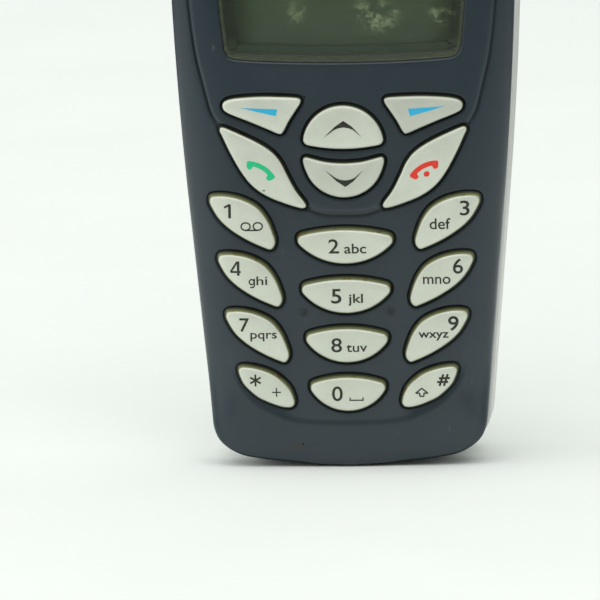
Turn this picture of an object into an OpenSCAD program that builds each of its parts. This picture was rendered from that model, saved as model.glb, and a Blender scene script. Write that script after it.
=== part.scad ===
// Candybar mobile phone: two tapering covers clipped round a frame, with separate silver key caps.
// X runs across the phone, Y from its front to its back, Z from its foot to its top.
// The front and rear covers meet in the plane Y = 0, and the phone stands on Z = 0.

/* [Body] */
// Length from the foot to the top
body_l = 118; // [114:0.5:124]
// Width at the widest place, beside the display
body_w = 50.2; // [49:0.1:54]
// Height of the widest place
widest_z = 93; // [88:0.5:98]
// Height up to which the sides run straight
straight_z = 37; // [30:0.5:45]
// Lean of the straight sides, in degrees
side_lean = 5.1; // [4:0.1:5.6]
// Half width of the flat middle of the foot
foot_flat = 5; // [3:0.5:7]
// Radius of the foot's curve beside its flat middle
foot_r = 50; // [40:1:80]
// Height of the rounded edges along the foot
foot_edge = 2.2; // [1.6:0.1:3]
// Share of the depth at which the foot starts to round
foot_side = 0.85; // [0.75:0.01:0.9]
// Radius of the two lower corners
corner_r = 6.3; // [5:0.1:7.5]
// Squareness of the rounded top, 2 being an ellipse
top_power = 2.4; // [2:0.1:3]

/* [Front cover] */
// Depth from the parting plane to the front face
front_d = 9.4; // [9.2:0.1:11]
// How far the front face bows back towards its ends
front_bow = 1.4; // [0.6:0.1:1.5]
// Height of the bow's foremost point
bow_z = 70; // [62:1:76]
// Wall of the front cover
front_wall = 1.6; // [1.2:0.1:1.8]
// Width of the rounded edge, seen from the front
front_edge = 7.5; // [6:0.1:8]
// Share of the depth at which the straight side wall ends
front_side = 0.55; // [0.4:0.05:0.7]
// Gap left where the two covers meet
parting_gap = 0.1; // [0.05:0.05:0.2]

/* [Rear cover] */
// Depth from the parting plane to the back
rear_d = 13.8; // [13.6:0.1:16]
// How much thinner the back is at the foot
rear_taper = 3.8; // [2:0.1:4]
// Height at which the thinning starts
taper_z = 60; // [50:1:64]
// Wall of the rear cover
rear_wall = 1.5; // [1.2:0.1:1.7]
// Width of the rounded edge, seen from the back
rear_edge = 8; // [6:0.1:8.5]
// Share of the depth at which the straight side wall ends
rear_side = 0.4; // [0.3:0.05:0.6]
// Length of the top cap over the sliding cover
cap_l = 20; // [18:0.5:22]

/* [Display] */
// Lowest edge of the window
window_z0 = 58.7; // [58.3:0.1:60]
// Distance from the window's upper edge to the top of the phone
window_top_gap = 26.4; // [26:0.1:30]
// How deep the window lies under the foremost point of the cover
window_sink = 0.1; // [0:0.05:0.2]
// Thickness of the window
window_t = 1.2; // [0.8:0.1:1.4]
// Ledge that the window rests on
window_ledge = 1.2; // [0.8:0.1:1.6]
// Thickness of the ledge
ledge_t = 0.8; // [0.6:0.1:1]
// Gap around the window in its recess
window_gap = 0.12; // [0.05:0.01:0.25]
// Thickness of the display panel
panel_t = 2; // [1.4:0.1:2.2]
// Foam gasket between ledge and panel
gasket_t = 0.7; // [0.5:0.1:0.9]
// How far the display panel stays inside the window's outline
panel_margin = 0.7; // [0.4:0.05:1]

/* [Keys] */
// Height of a key's rim over the cover
key_rise = 0.8; // [0.5:0.05:1]
// Extra height of a key's middle
key_crown = 0.15; // [0.05:0.05:0.3]
// Width of the rounded edge of a key
key_edge = 0.5; // [0.3:0.05:0.6]
// Gap between a key and its hole
key_gap = 0.3; // [0.2:0.05:0.35]
// How far a key goes in
key_travel = 0.5; // [0.3:0.05:0.5]
// How far a key's skirt reaches in behind the cover
key_skirt = 0.9; // [0.6:0.1:1.1]
// Half width of the widest centre key
centre_key_half = 6.72; // [6.2:0.02:6.8]
// How much narrower each centre key is than the one above
centre_key_step = 0.48; // [0.3:0.02:0.6]
// Height of the top centre key's ends
centre_key_z = 33.36; // [33.06:0.05:33.66]
// Distance between centre keys
centre_key_pitch = 7.1; // [6.9:0.05:7.3]
// Rise of a centre key's upper edge over its ends
centre_key_up = 1.53; // [1.3:0.01:1.7]
// Drop of a centre key's lower edge below its ends
centre_key_down = 3.32; // [3:0.01:3.5]
// Radius of a centre key's ends
centre_key_tip = 0.8; // [0.6:0.05:0.95]
// Radius of the two scroll keys together
scroll_r = 5.55; // [5.3:0.05:5.7]

/* [Frame and board] */
// Depth of the circuit board's front
board_y = -3.2; // [-3.4:0.05:-3]
// Thickness of the circuit board
board_t = 1; // [0.8:0.1:1.2]
// Gap between the frame and the covers
frame_gap = 0.4; // [0.3:0.05:0.6]
// Wall of the frame
frame_wall = 1.5; // [1.2:0.1:1.8]
// Depth of the frame's middle plate
plate_y = 2.4; // [2.3:0.05:2.6]
// Thickness of the frame's middle plate
plate_t = 1; // [0.8:0.1:1.2]
// Small gap between inner pieces that are laid on each other
lay_gap = 0.05; // [0.02:0.01:0.1]

/* [Battery and card] */
// Length of the battery
battery_l = 50; // [46:0.5:52]
// Room beside the battery, measured from the phone's widest place
battery_side = 8.6; // [8.2:0.1:10]
// Thickness of the battery
battery_t = 6.4; // [5:0.1:6.6]
// Lowest edge of the battery
battery_z0 = 33; // [32:0.5:34]
// Length of the card, across the phone
card_l = 25; // [25:0.1:25.2]
// Width of the card, along the phone
card_w = 15; // [15:0.1:15.2]
// Thickness of the card
card_t = 0.76; // [0.7:0.02:0.84]

/* [Sockets] */
// Bore of the charger socket
charger_bore = 3.6; // [3.5:0.05:3.8]
// Depth of the charger socket
charger_depth = 7.5; // [6:0.1:8]
// Place of the charger socket across the phone
charger_x = 5; // [4.5:0.1:6]
// Bore of the headset socket
headset_bore = 2.6; // [2.5:0.05:2.8]
// Depth of the headset socket
headset_depth = 7; // [6:0.1:8]
// Place of the headset socket across the phone
headset_x = -5; // [-6:0.1:-4.5]
// Wall of a socket's metal sleeve
sleeve_wall = 0.5; // [0.3:0.05:0.6]
// Half width of the connector block
block_half_w = 12; // [10.5:0.1:12.5]
// Depth of the connector block's back
block_back = 3.6; // [3.5:0.05:3.9]
// Height of the connector block
block_l = 9; // [8.5:0.1:10]

/* [Buttons and motor] */
// Width of the power button
power_w = 9; // [7:0.1:11]
// Depth of the power button
power_d = 3.4; // [2.8:0.1:3.6]
// How far the power button stands out
power_rise = 0.6; // [0.5:0.05:0.9]
// How far the power button goes in
power_travel = 0.5; // [0.3:0.05:0.5]
// Width of the rear cover's release button
release_w = 12; // [9:0.1:14]
// Length of the release button
release_l = 5; // [4:0.1:6]
// How far the release button stands out
release_rise = 0.5; // [0.3:0.05:0.8]
// How far the release button goes in
release_travel = 1; // [0.6:0.05:1.1]
// Gap around the two buttons
button_gap = 0.25; // [0.15:0.05:0.35]
// Radius of the vibration motor
motor_r = 2; // [1.8:0.05:2.05]
// Length of the vibration motor
motor_l = 9; // [8:0.1:10]
// Radius of the motor's shaft
shaft_r = 0.4; // [0.3:0.05:0.5]
// Running clearance of the shaft
shaft_gap = 0.05; // [0.03:0.01:0.08]

/* [Hidden] */
$fn = 48;

// What is left under a pressed key or button
press_gap = 0.1;

// How far a cutting shape runs past the face that it cuts
past = 1;

// The window, the keys and what lies behind them are drawn for a body 50.2 wide, and widen with it
wide = body_w / 50.2;

// Outline of the phone, seen from the front

lean_t = tan(side_lean);
side_x0 = body_w / 2 - lean_t * (straight_z + widest_z) / 2;
corner_x0 = side_x0 - corner_r / cos(side_lean) - foot_flat;
corner_b = foot_r - corner_x0 * lean_t;
corner_q = corner_x0 * corner_x0 + foot_r * foot_r - pow(foot_r - corner_r, 2);
corner_a = 1 + lean_t * lean_t;
// Centre of a lower corner, which touches both the foot's curve and the straight side
corner_z = (corner_b - sqrt(corner_b * corner_b - corner_a * corner_q)) / corner_a;
corner_x = corner_x0 + lean_t * corner_z + foot_flat;
foot_angle = atan2(corner_z - foot_r, corner_x - foot_flat);
side_z0 = corner_z - corner_r * sin(side_lean);

// Half the phone's width on the sides, at a height over the lower corners
function half_width(z) =
    z > widest_z
    ? body_w / 2 * pow(max(0, 1 - pow((z - widest_z) / (body_l - widest_z), top_power)), 1 / top_power)
    : side_x0 + lean_t * z - lean_t * pow(max(0, z - straight_z), 2) / (2 * (widest_z - straight_z));

foot_steps = 4;
corner_steps = 7;
side_steps = 8;
top_steps = 12;
// Right-hand half from the end of the foot's flat middle up to the middle of the top
half_outline = concat(
    [for (i = [0 : foot_steps - 1])
        let (a = -90 + (foot_angle + 90) * i / foot_steps)
        [foot_flat + foot_r * cos(a), foot_r + foot_r * sin(a)]],
    [for (i = [0 : corner_steps - 1])
        let (a = foot_angle + (-side_lean - foot_angle) * i / corner_steps)
        [corner_x + corner_r * cos(a), corner_z + corner_r * sin(a)]],
    [for (i = [0 : side_steps - 1])
        let (z = side_z0 + (widest_z - side_z0) * i / side_steps)
        [half_width(z), z]],
    [for (i = [0 : top_steps])
        let (a = 90 * i / top_steps)
        [body_w / 2 * pow(max(0, cos(a)), 2 / top_power),
         widest_z + (body_l - widest_z) * pow(max(0, sin(a)), 2 / top_power)]]);
half_n = len(half_outline);
outline = concat(
    half_outline,
    [for (i = [half_n - 2 : -1 : 0]) [-half_outline[i][0], half_outline[i][1]]]);
outline_n = len(outline);

// Outward normals of a closed outline that runs anticlockwise
function normal_at(points, i) =
    let (n = len(points), d = points[(i + 1) % n] - points[(i + n - 1) % n])
    [d[1], -d[0]] / norm(d);

// A closed outline grown outwards by a distance, or drawn in by a negative one
function grown(points, d) = [for (i = [0 : len(points) - 1]) points[i] + d * normal_at(points, i)];

// Depths of the two covers over the phone's length

function front_depth(z) = front_d - front_bow * pow((z - bow_z) / (bow_z - side_z0), 2);
function rear_depth(z) = rear_d - rear_taper * pow(max(0, taper_z - z) / taper_z, 2);

// A quarter ellipse takes the straight side wall over into the flat face, and a smaller one along the foot
edge_steps = 6;
foot_blend = 14;
function foot_ease(z) = let (s = min(1, z / foot_blend)) s * s * (3 - 2 * s);
function edge_inset(i, width, z) =
    (foot_edge + (width - foot_edge) * foot_ease(z)) * (1 - cos(90 * i / edge_steps));
function edge_share(i, side, z) =
    let (s = foot_side + (side - foot_side) * foot_ease(z))
    s + (1 - s) * sin(90 * i / edge_steps);

// Depth of the front cover's face at a place among the keys
function cover_y(p) =
    let (e = min(1, max(0, (half_width(p[1]) - abs(p[0])) / front_edge)),
         share = front_side + (1 - front_side) * sqrt(1 - pow(1 - e, 2)))
    -share * front_depth(p[1]);

// A point of the outline drawn in towards a line up the middle, which keeps the corners from folding over
spine_low = 16;
spine_high = body_l - 22;
function drawn_in(p, d) =
    let (v = [0, min(max(p[1], spine_low), spine_high)] - p)
    p + d * v / norm(v);
function outline_in(d) = [for (p = outline) drawn_in(p, d)];

// A cover's rings from its side wall to its flat face, with a wall's thickness taken off
function front_ring(i, wall) =
    [for (p = outline)
        let (q = drawn_in(p, edge_inset(i, front_edge, p[1]) + wall))
        [q[0], -edge_share(i, front_side, p[1]) * (front_depth(q[1]) - wall), q[1]]];
function rear_ring(i, wall) =
    [for (p = outline)
        let (q = drawn_in(p, edge_inset(i, rear_edge, p[1]) + wall))
        [q[0], edge_share(i, rear_side, p[1]) * (rear_depth(q[1]) - wall), q[1]]];
function flat_ring(points, y) = [for (p = points) [p[0], y, p[1]]];

// Two triangles for each pair of neighbouring points on rings that run from back to front
function side_faces(rings, n) =
    [for (k = [0 : rings - 2], i = [0 : n - 1])
        let (j = (i + 1) % n, a = k * n + i, b = k * n + j, c = a + n, d = b + n)
        each [[a, c, d], [a, d, b]]];

// Ends of a symmetric solid, as flat strips that run across the phone
function strip_faces(start, n, half) =
    [for (i = [0 : half - 2])
        let (left = start + n - 1 - i)
        i == half - 2
        ? [start + i, start + i + 1, left]
        : [start + i, start + i + 1, left - 1, left]];
function turned(faces) = [for (f = faces) [for (i = [len(f) - 1 : -1 : 0]) f[i]]];

// A solid of rings that all follow the phone's outline, from the back one to the front one
module cover_loft(rings) {
    n = outline_n;
    last = (len(rings) - 1) * n;
    polyhedron(
        points = [for (r = rings) each r],
        faces = concat(
            strip_faces(0, n, half_n),
            side_faces(len(rings), n),
            turned(strip_faces(last, n, half_n))));
}

// A solid between two depths, whose outline is drawn in X and Z
module slab(y_front, y_back) {
    translate([0, y_back, 0])
        rotate([90, 0, 0])
            linear_extrude(y_back - y_front)
                children();
}

// A round bar along Y between two depths, at a place in X and Z
module bar_y(p, r, y_front, y_back) {
    translate([p[0], y_back, p[1]])
        rotate([90, 0, 0])
            cylinder(r = r, h = y_back - y_front);
}

// A block between two corners
module block(low, high) {
    translate(low)
        cube(high - low);
}

module outline_2d(inset) {
    polygon(grown(outline, -inset));
}

// Everything over a height
module above(z) {
    block([-body_w, -body_l, z], [body_w, body_l, 2 * body_l]);
}

// Closed smooth curve through a list of points
spline_steps = 3;
function spline_point(a, b, c, d, t) =
    0.5 * (2 * b + (c - a) * t + (2 * a - 5 * b + 4 * c - d) * t * t + (3 * b - a - 3 * c + d) * t * t * t);
function spline(p) =
    let (n = len(p))
    [for (i = [0 : n - 1], s = [0 : spline_steps - 1])
        spline_point(p[(i + n - 1) % n], p[i], p[(i + 1) % n], p[(i + 2) % n], s / spline_steps)];
function mirrored(p) = [for (i = [len(p) - 1 : -1 : 0]) [-p[i][0], p[i][1]]];
function placed(p, at, size) = [for (q = p) at + size * q];
function fitted(p) = [for (q = p) [wide * q[0], q[1]]];

// An almond of two arcs whose ends are rounded, from its upper arc's right end anticlockwise
arc_steps = 9;
tip_steps = 5;
function almond(half, up, down, tip) =
    let (c = half - tip,
         r1 = (c * c + up * up - tip * tip) / (2 * (up - tip)),
         r2 = (c * c + down * down - tip * tip) / (2 * (down - tip)),
         a1 = atan2(r1 - up, c),
         a2 = atan2(r2 - down, c))
    concat(
        [for (i = [0 : arc_steps - 1])
            let (a = a1 + (180 - 2 * a1) * i / arc_steps)
            [r1 * cos(a), up - r1 + r1 * sin(a)]],
        [for (i = [0 : tip_steps - 1])
            let (a = 180 - a1 + (a1 + a2) * i / tip_steps)
            [-c + tip * cos(a), tip * sin(a)]],
        [for (i = [0 : arc_steps - 1])
            let (a = 180 + a2 + (180 - 2 * a2) * i / arc_steps)
            [r2 * cos(a), r2 - down + r2 * sin(a)]],
        [for (i = [0 : tip_steps - 1])
            let (a = -a2 + (a1 + a2) * i / tip_steps)
            [c + tip * cos(a), tip * sin(a)]]);

// Outlines of the keys, in millimetres over the phone's foot. Right-hand keys are drawn, and mirrored.

leaf = [[4.05, 3.7], [2.2, 3.77], [0, 3.27], [-2.05, 2.15], [-3.4, 0.45], [-4.25, -1.55], [-4.55, -2.95],
        [-4, -3.85], [-3, -3.6], [-0.6, -2.45], [1.7, -0.95], [3.3, 0.55], [4.4, 2.35], [4.58, 3.15]];
hash_leaf = [[3.15, 2.95], [1.6, 2.77], [0, 2.3], [-1.3, 1.65], [-2.35, 0.8], [-3.2, -0.15], [-3.7, -1.1],
             [-4, -2.3], [-3.6, -2.9], [-2.7, -2.95], [-1.5, -2.65], [0, -2.05], [1.3, -1.35],
             [2.75, -0.05], [3.45, 0.9], [3.95, 2.25], [3.75, 2.75]];
soft_points = [[6.3, 53.75], [6, 53.2], [6.6, 52.2], [7.65, 50.6], [8.55, 48.95], [9.1, 48.75], [10.6, 49.4],
               [13.4, 50.6], [16.2, 51.75], [16.9, 52.5], [16.65, 53.3], [15.2, 53.75], [12, 53.98], [9, 53.95]];
call_points = [[17.05, 49.5], [15.6, 48.95], [13.4, 47.95], [11.3, 46.8], [9.85, 45.65], [8.85, 44.3],
               [8.1, 42.7], [7.05, 40.5], [5.95, 38.9], [5.75, 38.2], [6.35, 38], [8.3, 38.6], [10.8, 39.65],
               [12.8, 41.05], [14.35, 43], [15.9, 45.8], [17.05, 48.3], [17.4, 49.1]];
scroll_up_c = [0, 47];
scroll_down_c = [0, 45.1];
scroll_bar_drop = 1.3;
scroll_corner_rise = 0.8;
// The lower scroll key hangs from a sagging upper edge, given from its middle to the left and round
scroll_down_points = concat(
    [[0, -0.8], [-2.6, -0.6], [-4.6, -0.1], [-5.35, 0.05], [-5.6, -0.5]],
    [for (a = [-160 : 14 : -20]) scroll_r * [cos(a), sin(a)]],
    [[5.6, -0.5], [5.35, 0.05], [4.6, -0.1], [2.6, -0.6]]);

key_3 = fitted(placed(spline(leaf), [14.5, 35.95], 1));
key_6 = fitted(placed(spline(leaf), [13.55, 27.6], 0.976));
key_9 = fitted(placed(spline(leaf), [12.7, 19.55], 0.963));
key_hash = fitted(placed(spline(hash_leaf), [11.6, 12.15], 1));
key_end = fitted(spline(call_points));
key_soft = fitted(spline(soft_points));
key_down = placed(spline(scroll_down_points), scroll_down_c, 1);
key_up = placed(almond(scroll_r, scroll_r - scroll_corner_rise, scroll_bar_drop, centre_key_tip),
                scroll_up_c + [0, scroll_corner_rise], 1);
function centre_key(row) =
    placed(almond(centre_key_half - row * centre_key_step, centre_key_up, centre_key_down, centre_key_tip),
           [0, centre_key_z - row * centre_key_pitch], 1);

// Every key: its node's name, its outline and the middle from which its top is drawn
KEYS = [
    ["key_soft_left", mirrored(key_soft), [-wide * 11, 52]],
    ["key_soft_right", key_soft, [wide * 11, 52]],
    ["key_scroll_up", key_up, [0, 49.4]],
    ["key_scroll_down", key_down, [0, 42.2]],
    ["key_call", mirrored(key_end), [-wide * 11.6, 43.6]],
    ["key_end", key_end, [wide * 11.6, 43.6]],
    ["key_1", mirrored(key_3), [-wide * 14.5, 36]],
    ["key_2", centre_key(0), [0, 32.4]],
    ["key_3", key_3, [wide * 14.5, 36]],
    ["key_4", mirrored(key_6), [-wide * 13.5, 27.6]],
    ["key_5", centre_key(1), [0, 25.3]],
    ["key_6", key_6, [wide * 13.5, 27.6]],
    ["key_7", mirrored(key_9), [-wide * 12.7, 19.6]],
    ["key_8", centre_key(2), [0, 18.2]],
    ["key_9", key_9, [wide * 12.7, 19.6]],
    ["key_star", mirrored(key_hash), [-wide * 11.6, 12.1]],
    ["key_0", centre_key(3), [0, 11.1]],
    ["key_hash", key_hash, [wide * 11.6, 12.1]]];

// Depth of a key's inner end, and of the rubber under it
function key_back(k) = -front_depth(k[2][1]) + front_wall + key_skirt;
function mat_front(k) = key_back(k) + key_travel + press_gap;

// Front cover

window_y = -front_d + window_sink;
window_back = window_y + window_t;
ledge_back = window_back + ledge_t;
// Right-hand half of the window over its lowest edge, drawn 32.9 high
window_half = [[0, 0], [8, 0.15], [14.2, 0.5], [16, 0.9], [16.6, 1.8], [16.85, 3.3], [17.4, 9.1],
               [17.8, 15.3], [17.8, 21.3], [17.1, 26.8], [15.4, 30.3], [12, 31.9], [6, 32.7]];
window_top = body_l - window_top_gap;
window_tall = (window_top - window_z0) / 32.9;
window_side = [for (p = window_half) [wide * p[0], window_z0 + window_tall * p[1]]];
window_points = spline(concat(
    window_side,
    [[0, window_top]],
    [for (i = [len(window_side) - 1 : -1 : 1]) [-window_side[i][0], window_side[i][1]]]));
earpiece_z = body_l - 14;
slot_w = 1.2;
slot_l = 4;
slot_pitch = 2.6;
slot_shorter = 0.6;
slot_drop = 0.4;
microphone_p = [-6.7, 5];
sound_hole_r = 0.45;
pip_p = [wide * 6.4, 23.2];
pip_r = 0.45;
pip_rise = 0.25;
notch_half_w = block_half_w + button_gap;

module front_shell() {
    difference() {
        cover_loft([
            flat_ring(outline, -parting_gap / 2),
            for (i = [0 : edge_steps]) front_ring(i, 0)]);
        cover_loft([
            flat_ring(outline_in(front_wall), past),
            for (i = [0 : edge_steps]) front_ring(i, front_wall)]);
    }
}

// The upright slots of the earpiece, the outer ones shorter
module earpiece_slots() {
    for (i = [-2 : 2])
        translate([i * slot_pitch, earpiece_z - abs(i) * slot_drop])
            square([slot_w, slot_l - abs(i) * slot_shorter], center = true);
}

module power_hole(gap) {
    translate([0, 0, body_l - front_wall - past])
        linear_extrude(front_wall + 2 * past)
            stadium(power_w + 2 * gap, power_d + 2 * gap);
}

// A slot's shape with round ends, long in X
module stadium(w, d) {
    for (s = [-1, 1])
        translate([s * (w - d) / 2, 0])
            circle(d = d);
    square([w - d, d], center = true);
}

module front_cover() {
    color([0.2, 0.225, 0.27])
    union() {
        difference() {
            union() {
                front_shell();
                slab(window_back, ledge_back)
                    polygon(grown(window_points, window_ledge));
            }
            slab(window_y - past, window_back)
                polygon(grown(window_points, window_gap));
            slab(window_y - past, ledge_back + past)
                polygon(grown(window_points, -window_ledge));
            for (k = KEYS)
                slab(-front_d - past, key_back(k))
                    polygon(grown(k[1], key_gap));
            slab(-front_d, -front_d / 2)
                earpiece_slots();
            bar_y(microphone_p, sound_hole_r, -front_d, board_y - past);
            power_hole(button_gap);
            block([-notch_half_w, board_y + board_t - button_gap, -past], [notch_half_w, past, corner_r]);
        }
        for (s = [-1, 1])
            bar_y([s * pip_p[0], pip_p[1]], pip_r, cover_y(pip_p) - pip_rise, cover_y(pip_p) + front_wall / 2);
    }
}

module display_window() {
    color([0.3, 0.34, 0.28, 0.5])
    slab(window_y, window_back - lay_gap)
        polygon(window_points);
}

// Display, from its gasket back to the board

gasket_y = ledge_back + lay_gap;
panel_y = gasket_y + gasket_t + lay_gap;
frame_y = panel_y + panel_t + lay_gap;
gasket_band = 1.4;
display_margin = 0.8;
panel_half_w = max([for (p = window_points) p[0]]) - panel_margin;
panel_z0 = window_z0 + panel_margin;
panel_l = window_top - window_z0 - 2 * panel_margin;

module panel_2d(grow) {
    translate([-panel_half_w - grow, panel_z0 - grow])
        square([2 * (panel_half_w + grow), panel_l + 2 * grow]);
}

module window_gasket() {
    color([0.1, 0.1, 0.1])
    slab(gasket_y, gasket_y + gasket_t)
        difference() {
            polygon(grown(window_points, -window_ledge + gasket_band));
            polygon(grown(window_points, -window_ledge));
        }
}

module display_panel() {
    color([0.3, 0.34, 0.26])
    slab(panel_y, panel_y + panel_t)
        panel_2d(0);
}

module display_frame() {
    color([0.85, 0.85, 0.83])
    slab(frame_y, board_y)
        panel_2d(display_margin);
}

// Earpiece behind its slots

mesh_r = 6;
mesh_t = 0.3;
earpiece_r = 5.5;
mesh_gap = 0.1;
mesh_y = -front_depth(earpiece_z + mesh_r) + front_wall + mesh_gap;

module earpiece_mesh() {
    color([0.12, 0.12, 0.12])
    bar_y([0, earpiece_z], mesh_r, mesh_y, mesh_y + mesh_t);
}

module earpiece() {
    color([0.5, 0.5, 0.52])
    bar_y([0, earpiece_z], earpiece_r, mesh_y + mesh_t + lay_gap, board_y);
}

// Keys and what lies under them

mat_edge = 4.2;
mat_low = 7.6;
mat_high = 55;
mat_t = 0.8;
dome_t = 0.2;
dome_r = 2;
dome_rise = 0.25;
dome_room = 0.3;
dome_clear = 0.1;
dome_y = board_y - dome_t;
mat_y = dome_y - mat_t;
boss_r = 2.6;

module key(k) {
    color([0.8, 0.81, 0.76])
    key_loft(k);
}

// Rings of a key run from its inner end to its rim, and both ends are drawn from its middle
module key_loft(k) {
    p = k[1];
    n = len(p);
    rim = [[0, 0.45], [0.24, 0.75], [1, 1]];
    rings = concat(
        flat_ring(p, key_back(k)),
        [for (r = rim, q = grown(p, -r[0] * key_edge)) [q[0], cover_y(q) - r[1] * key_rise, q[1]]]);
    back = len(rings);
    polyhedron(
        points = concat(rings, [[k[2][0], key_back(k), k[2][1]],
                                [k[2][0], cover_y(k[2]) - key_rise - key_crown, k[2][1]]]),
        faces = concat(
            side_faces(len(rim) + 1, n),
            [for (i = [0 : n - 1]) [back, i, (i + 1) % n]],
            [for (i = [0 : n - 1]) [back + 1, len(rim) * n + (i + 1) % n, len(rim) * n + i]]));
}

module mat_2d(grow) {
    intersection() {
        outline_2d(mat_edge - grow);
        translate([-body_w, mat_low - grow])
            square([2 * body_w, mat_high - mat_low + 2 * grow]);
    }
}

module keymat() {
    color([0.75, 0.76, 0.74])
    difference() {
        union() {
            slab(mat_y, dome_y - lay_gap)
                mat_2d(0);
            for (k = KEYS)
                bar_y(k[2], boss_r, mat_front(k), mat_y + mat_t / 2);
        }
        for (k = KEYS)
            bar_y(k[2], dome_r + dome_room, dome_y - dome_rise - dome_clear, dome_y + past);
    }
}

module dome_sheet() {
    color([0.75, 0.68, 0.45])
    union() {
        slab(dome_y, board_y)
            mat_2d(0);
        for (k = KEYS)
            bar_y(k[2], dome_r, dome_y - dome_rise, board_y);
    }
}

// Circuit board and what it carries

board_back = board_y + board_t;
board_inset = 2.4;
board_top = body_l - 7;
screw_r = 0.8;
screw_head_r = 1.5;
screw_head_t = 0.8;
screw_l = 4;
screw_gap = 0.05;
screw_room = 0.4;
screw_side = [[block_half_w + screw_r + screw_room, 5.2], [wide * 20.2, 57], [wide * 15, body_l - 12]];
screw_places = [for (s = [-1, 1], p = screw_side) [s * p[0], p[1]]];

module circuit_board() {
    color([0.1, 0.32, 0.2])
    difference() {
        slab(board_y, board_back)
            intersection() {
                outline_2d(board_inset);
                translate([-body_w, 0])
                    square([2 * body_w, board_top]);
            }
        for (p = screw_places)
            bar_y(p, screw_r + screw_gap, board_y - past, board_back + past);
    }
}

module board_screws() {
    color([0.6, 0.6, 0.62])
    for (p = screw_places) {
        bar_y(p, screw_head_r, board_y - screw_head_t, board_y);
        bar_y(p, screw_r, board_y - screw_head_t, board_y + screw_l);
    }
}

can_t = 3;
can_wall = 0.3;
can_boxes = [[[-wide * 17, window_z0 + 1.3], [wide * 17, window_top - 5.6]],
             [[-wide * 15, 24], [wide * 15, 54]]];
chip_t = 1.2;
chip_margin = 6;

module shield_cans() {
    color([0.7, 0.7, 0.68])
    for (b = can_boxes)
        difference() {
            block([b[0][0], board_back, b[0][1]], [b[1][0], board_back + can_t, b[1][1]]);
            block([b[0][0] + can_wall, board_back - past, b[0][1] + can_wall],
                  [b[1][0] - can_wall, board_back + can_t - can_wall, b[1][1] - can_wall]);
        }
}

module chips() {
    color([0.08, 0.08, 0.08])
    for (b = can_boxes)
        block([b[0][0] + chip_margin, board_back, b[0][1] + chip_margin],
              [b[1][0] - chip_margin, board_back + chip_t, b[1][1] - chip_margin]);
}

led_w = 1.2;
led_t = 0.5;
led_places = [for (s = [-wide, wide], z = [window_z0 + 5.3, window_top - 7.6]) [s * 20.2, z]];

module backlight_leds() {
    color([0.9, 0.9, 0.8])
    for (p = led_places)
        block([p[0] - led_w / 2, board_y - led_t, p[1] - led_w], [p[0] + led_w / 2, board_y, p[1] + led_w]);
}

microphone_r = 1.7;
microphone_t = 1.2;
boot_wall = 0.5;
boot_t = 1.7;

module microphone() {
    color([0.7, 0.66, 0.5])
    bar_y(microphone_p, microphone_r, board_y - microphone_t, board_y);
}

module microphone_boot() {
    color([0.12, 0.12, 0.12])
    difference() {
        bar_y(microphone_p, microphone_r + boot_wall, board_y - boot_t, board_y);
        bar_y(microphone_p, microphone_r + lay_gap, board_y - microphone_t - lay_gap, board_y + past);
        bar_y(microphone_p, sound_hole_r, board_y - boot_t - past, board_y);
    }
}

buzzer_p = [wide * 9, body_l - 22];
buzzer_r = 4.4;
buzzer_t = 3.4;

module buzzer() {
    color([0.15, 0.15, 0.16])
    bar_y(buzzer_p, buzzer_r, board_back, board_back + buzzer_t);
}

// Vibration motor, whose lopsided weight turns about X

motor_c = [-wide * 15, 0.1, body_l - 23];
weight_l = 3;
weight_r = 1.9;
hub_r = 0.9;
bearing_l = 1.5;
weight_gap = 0.4;
end_play = 0.2;
weight_x = motor_c[0] + motor_l + weight_gap;

// A round bar along X from a place
module bar_x(x, r, l) {
    translate([x, motor_c[1], motor_c[2]])
        rotate([0, 90, 0])
            cylinder(r = r, h = l);
}

module vibration_motor() {
    color([0.72, 0.72, 0.74])
    difference() {
        bar_x(motor_c[0], motor_r, motor_l);
        bar_x(motor_c[0] + motor_l - bearing_l, shaft_r + shaft_gap, bearing_l + past);
    }
}

module vibration_weight() {
    color([0.55, 0.52, 0.48])
    union() {
        difference() {
            bar_x(weight_x, weight_r, weight_l);
            block([weight_x - past, motor_c[1] - weight_r - past, motor_c[2]],
                  [weight_x + weight_l + past, motor_c[1] + weight_r + past, motor_c[2] + weight_r + past]);
        }
        bar_x(weight_x, hub_r, weight_l);
        bar_x(motor_c[0] + motor_l - bearing_l + end_play, shaft_r, bearing_l + weight_l);
    }
}

// Frame between the covers

frame_inset = max(front_wall, rear_wall) + frame_gap;
frame_rim = 0.6;
plate_back = plate_y + plate_t;
frame_back = plate_back + frame_rim;
screw_boss_r = 1.8;
carrier_inset = 6;
carrier_z = [body_l - 12, body_l - 5];
carrier_back = 8.9;
cradle_t = 1.2;
cradle_end = 1;

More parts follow.
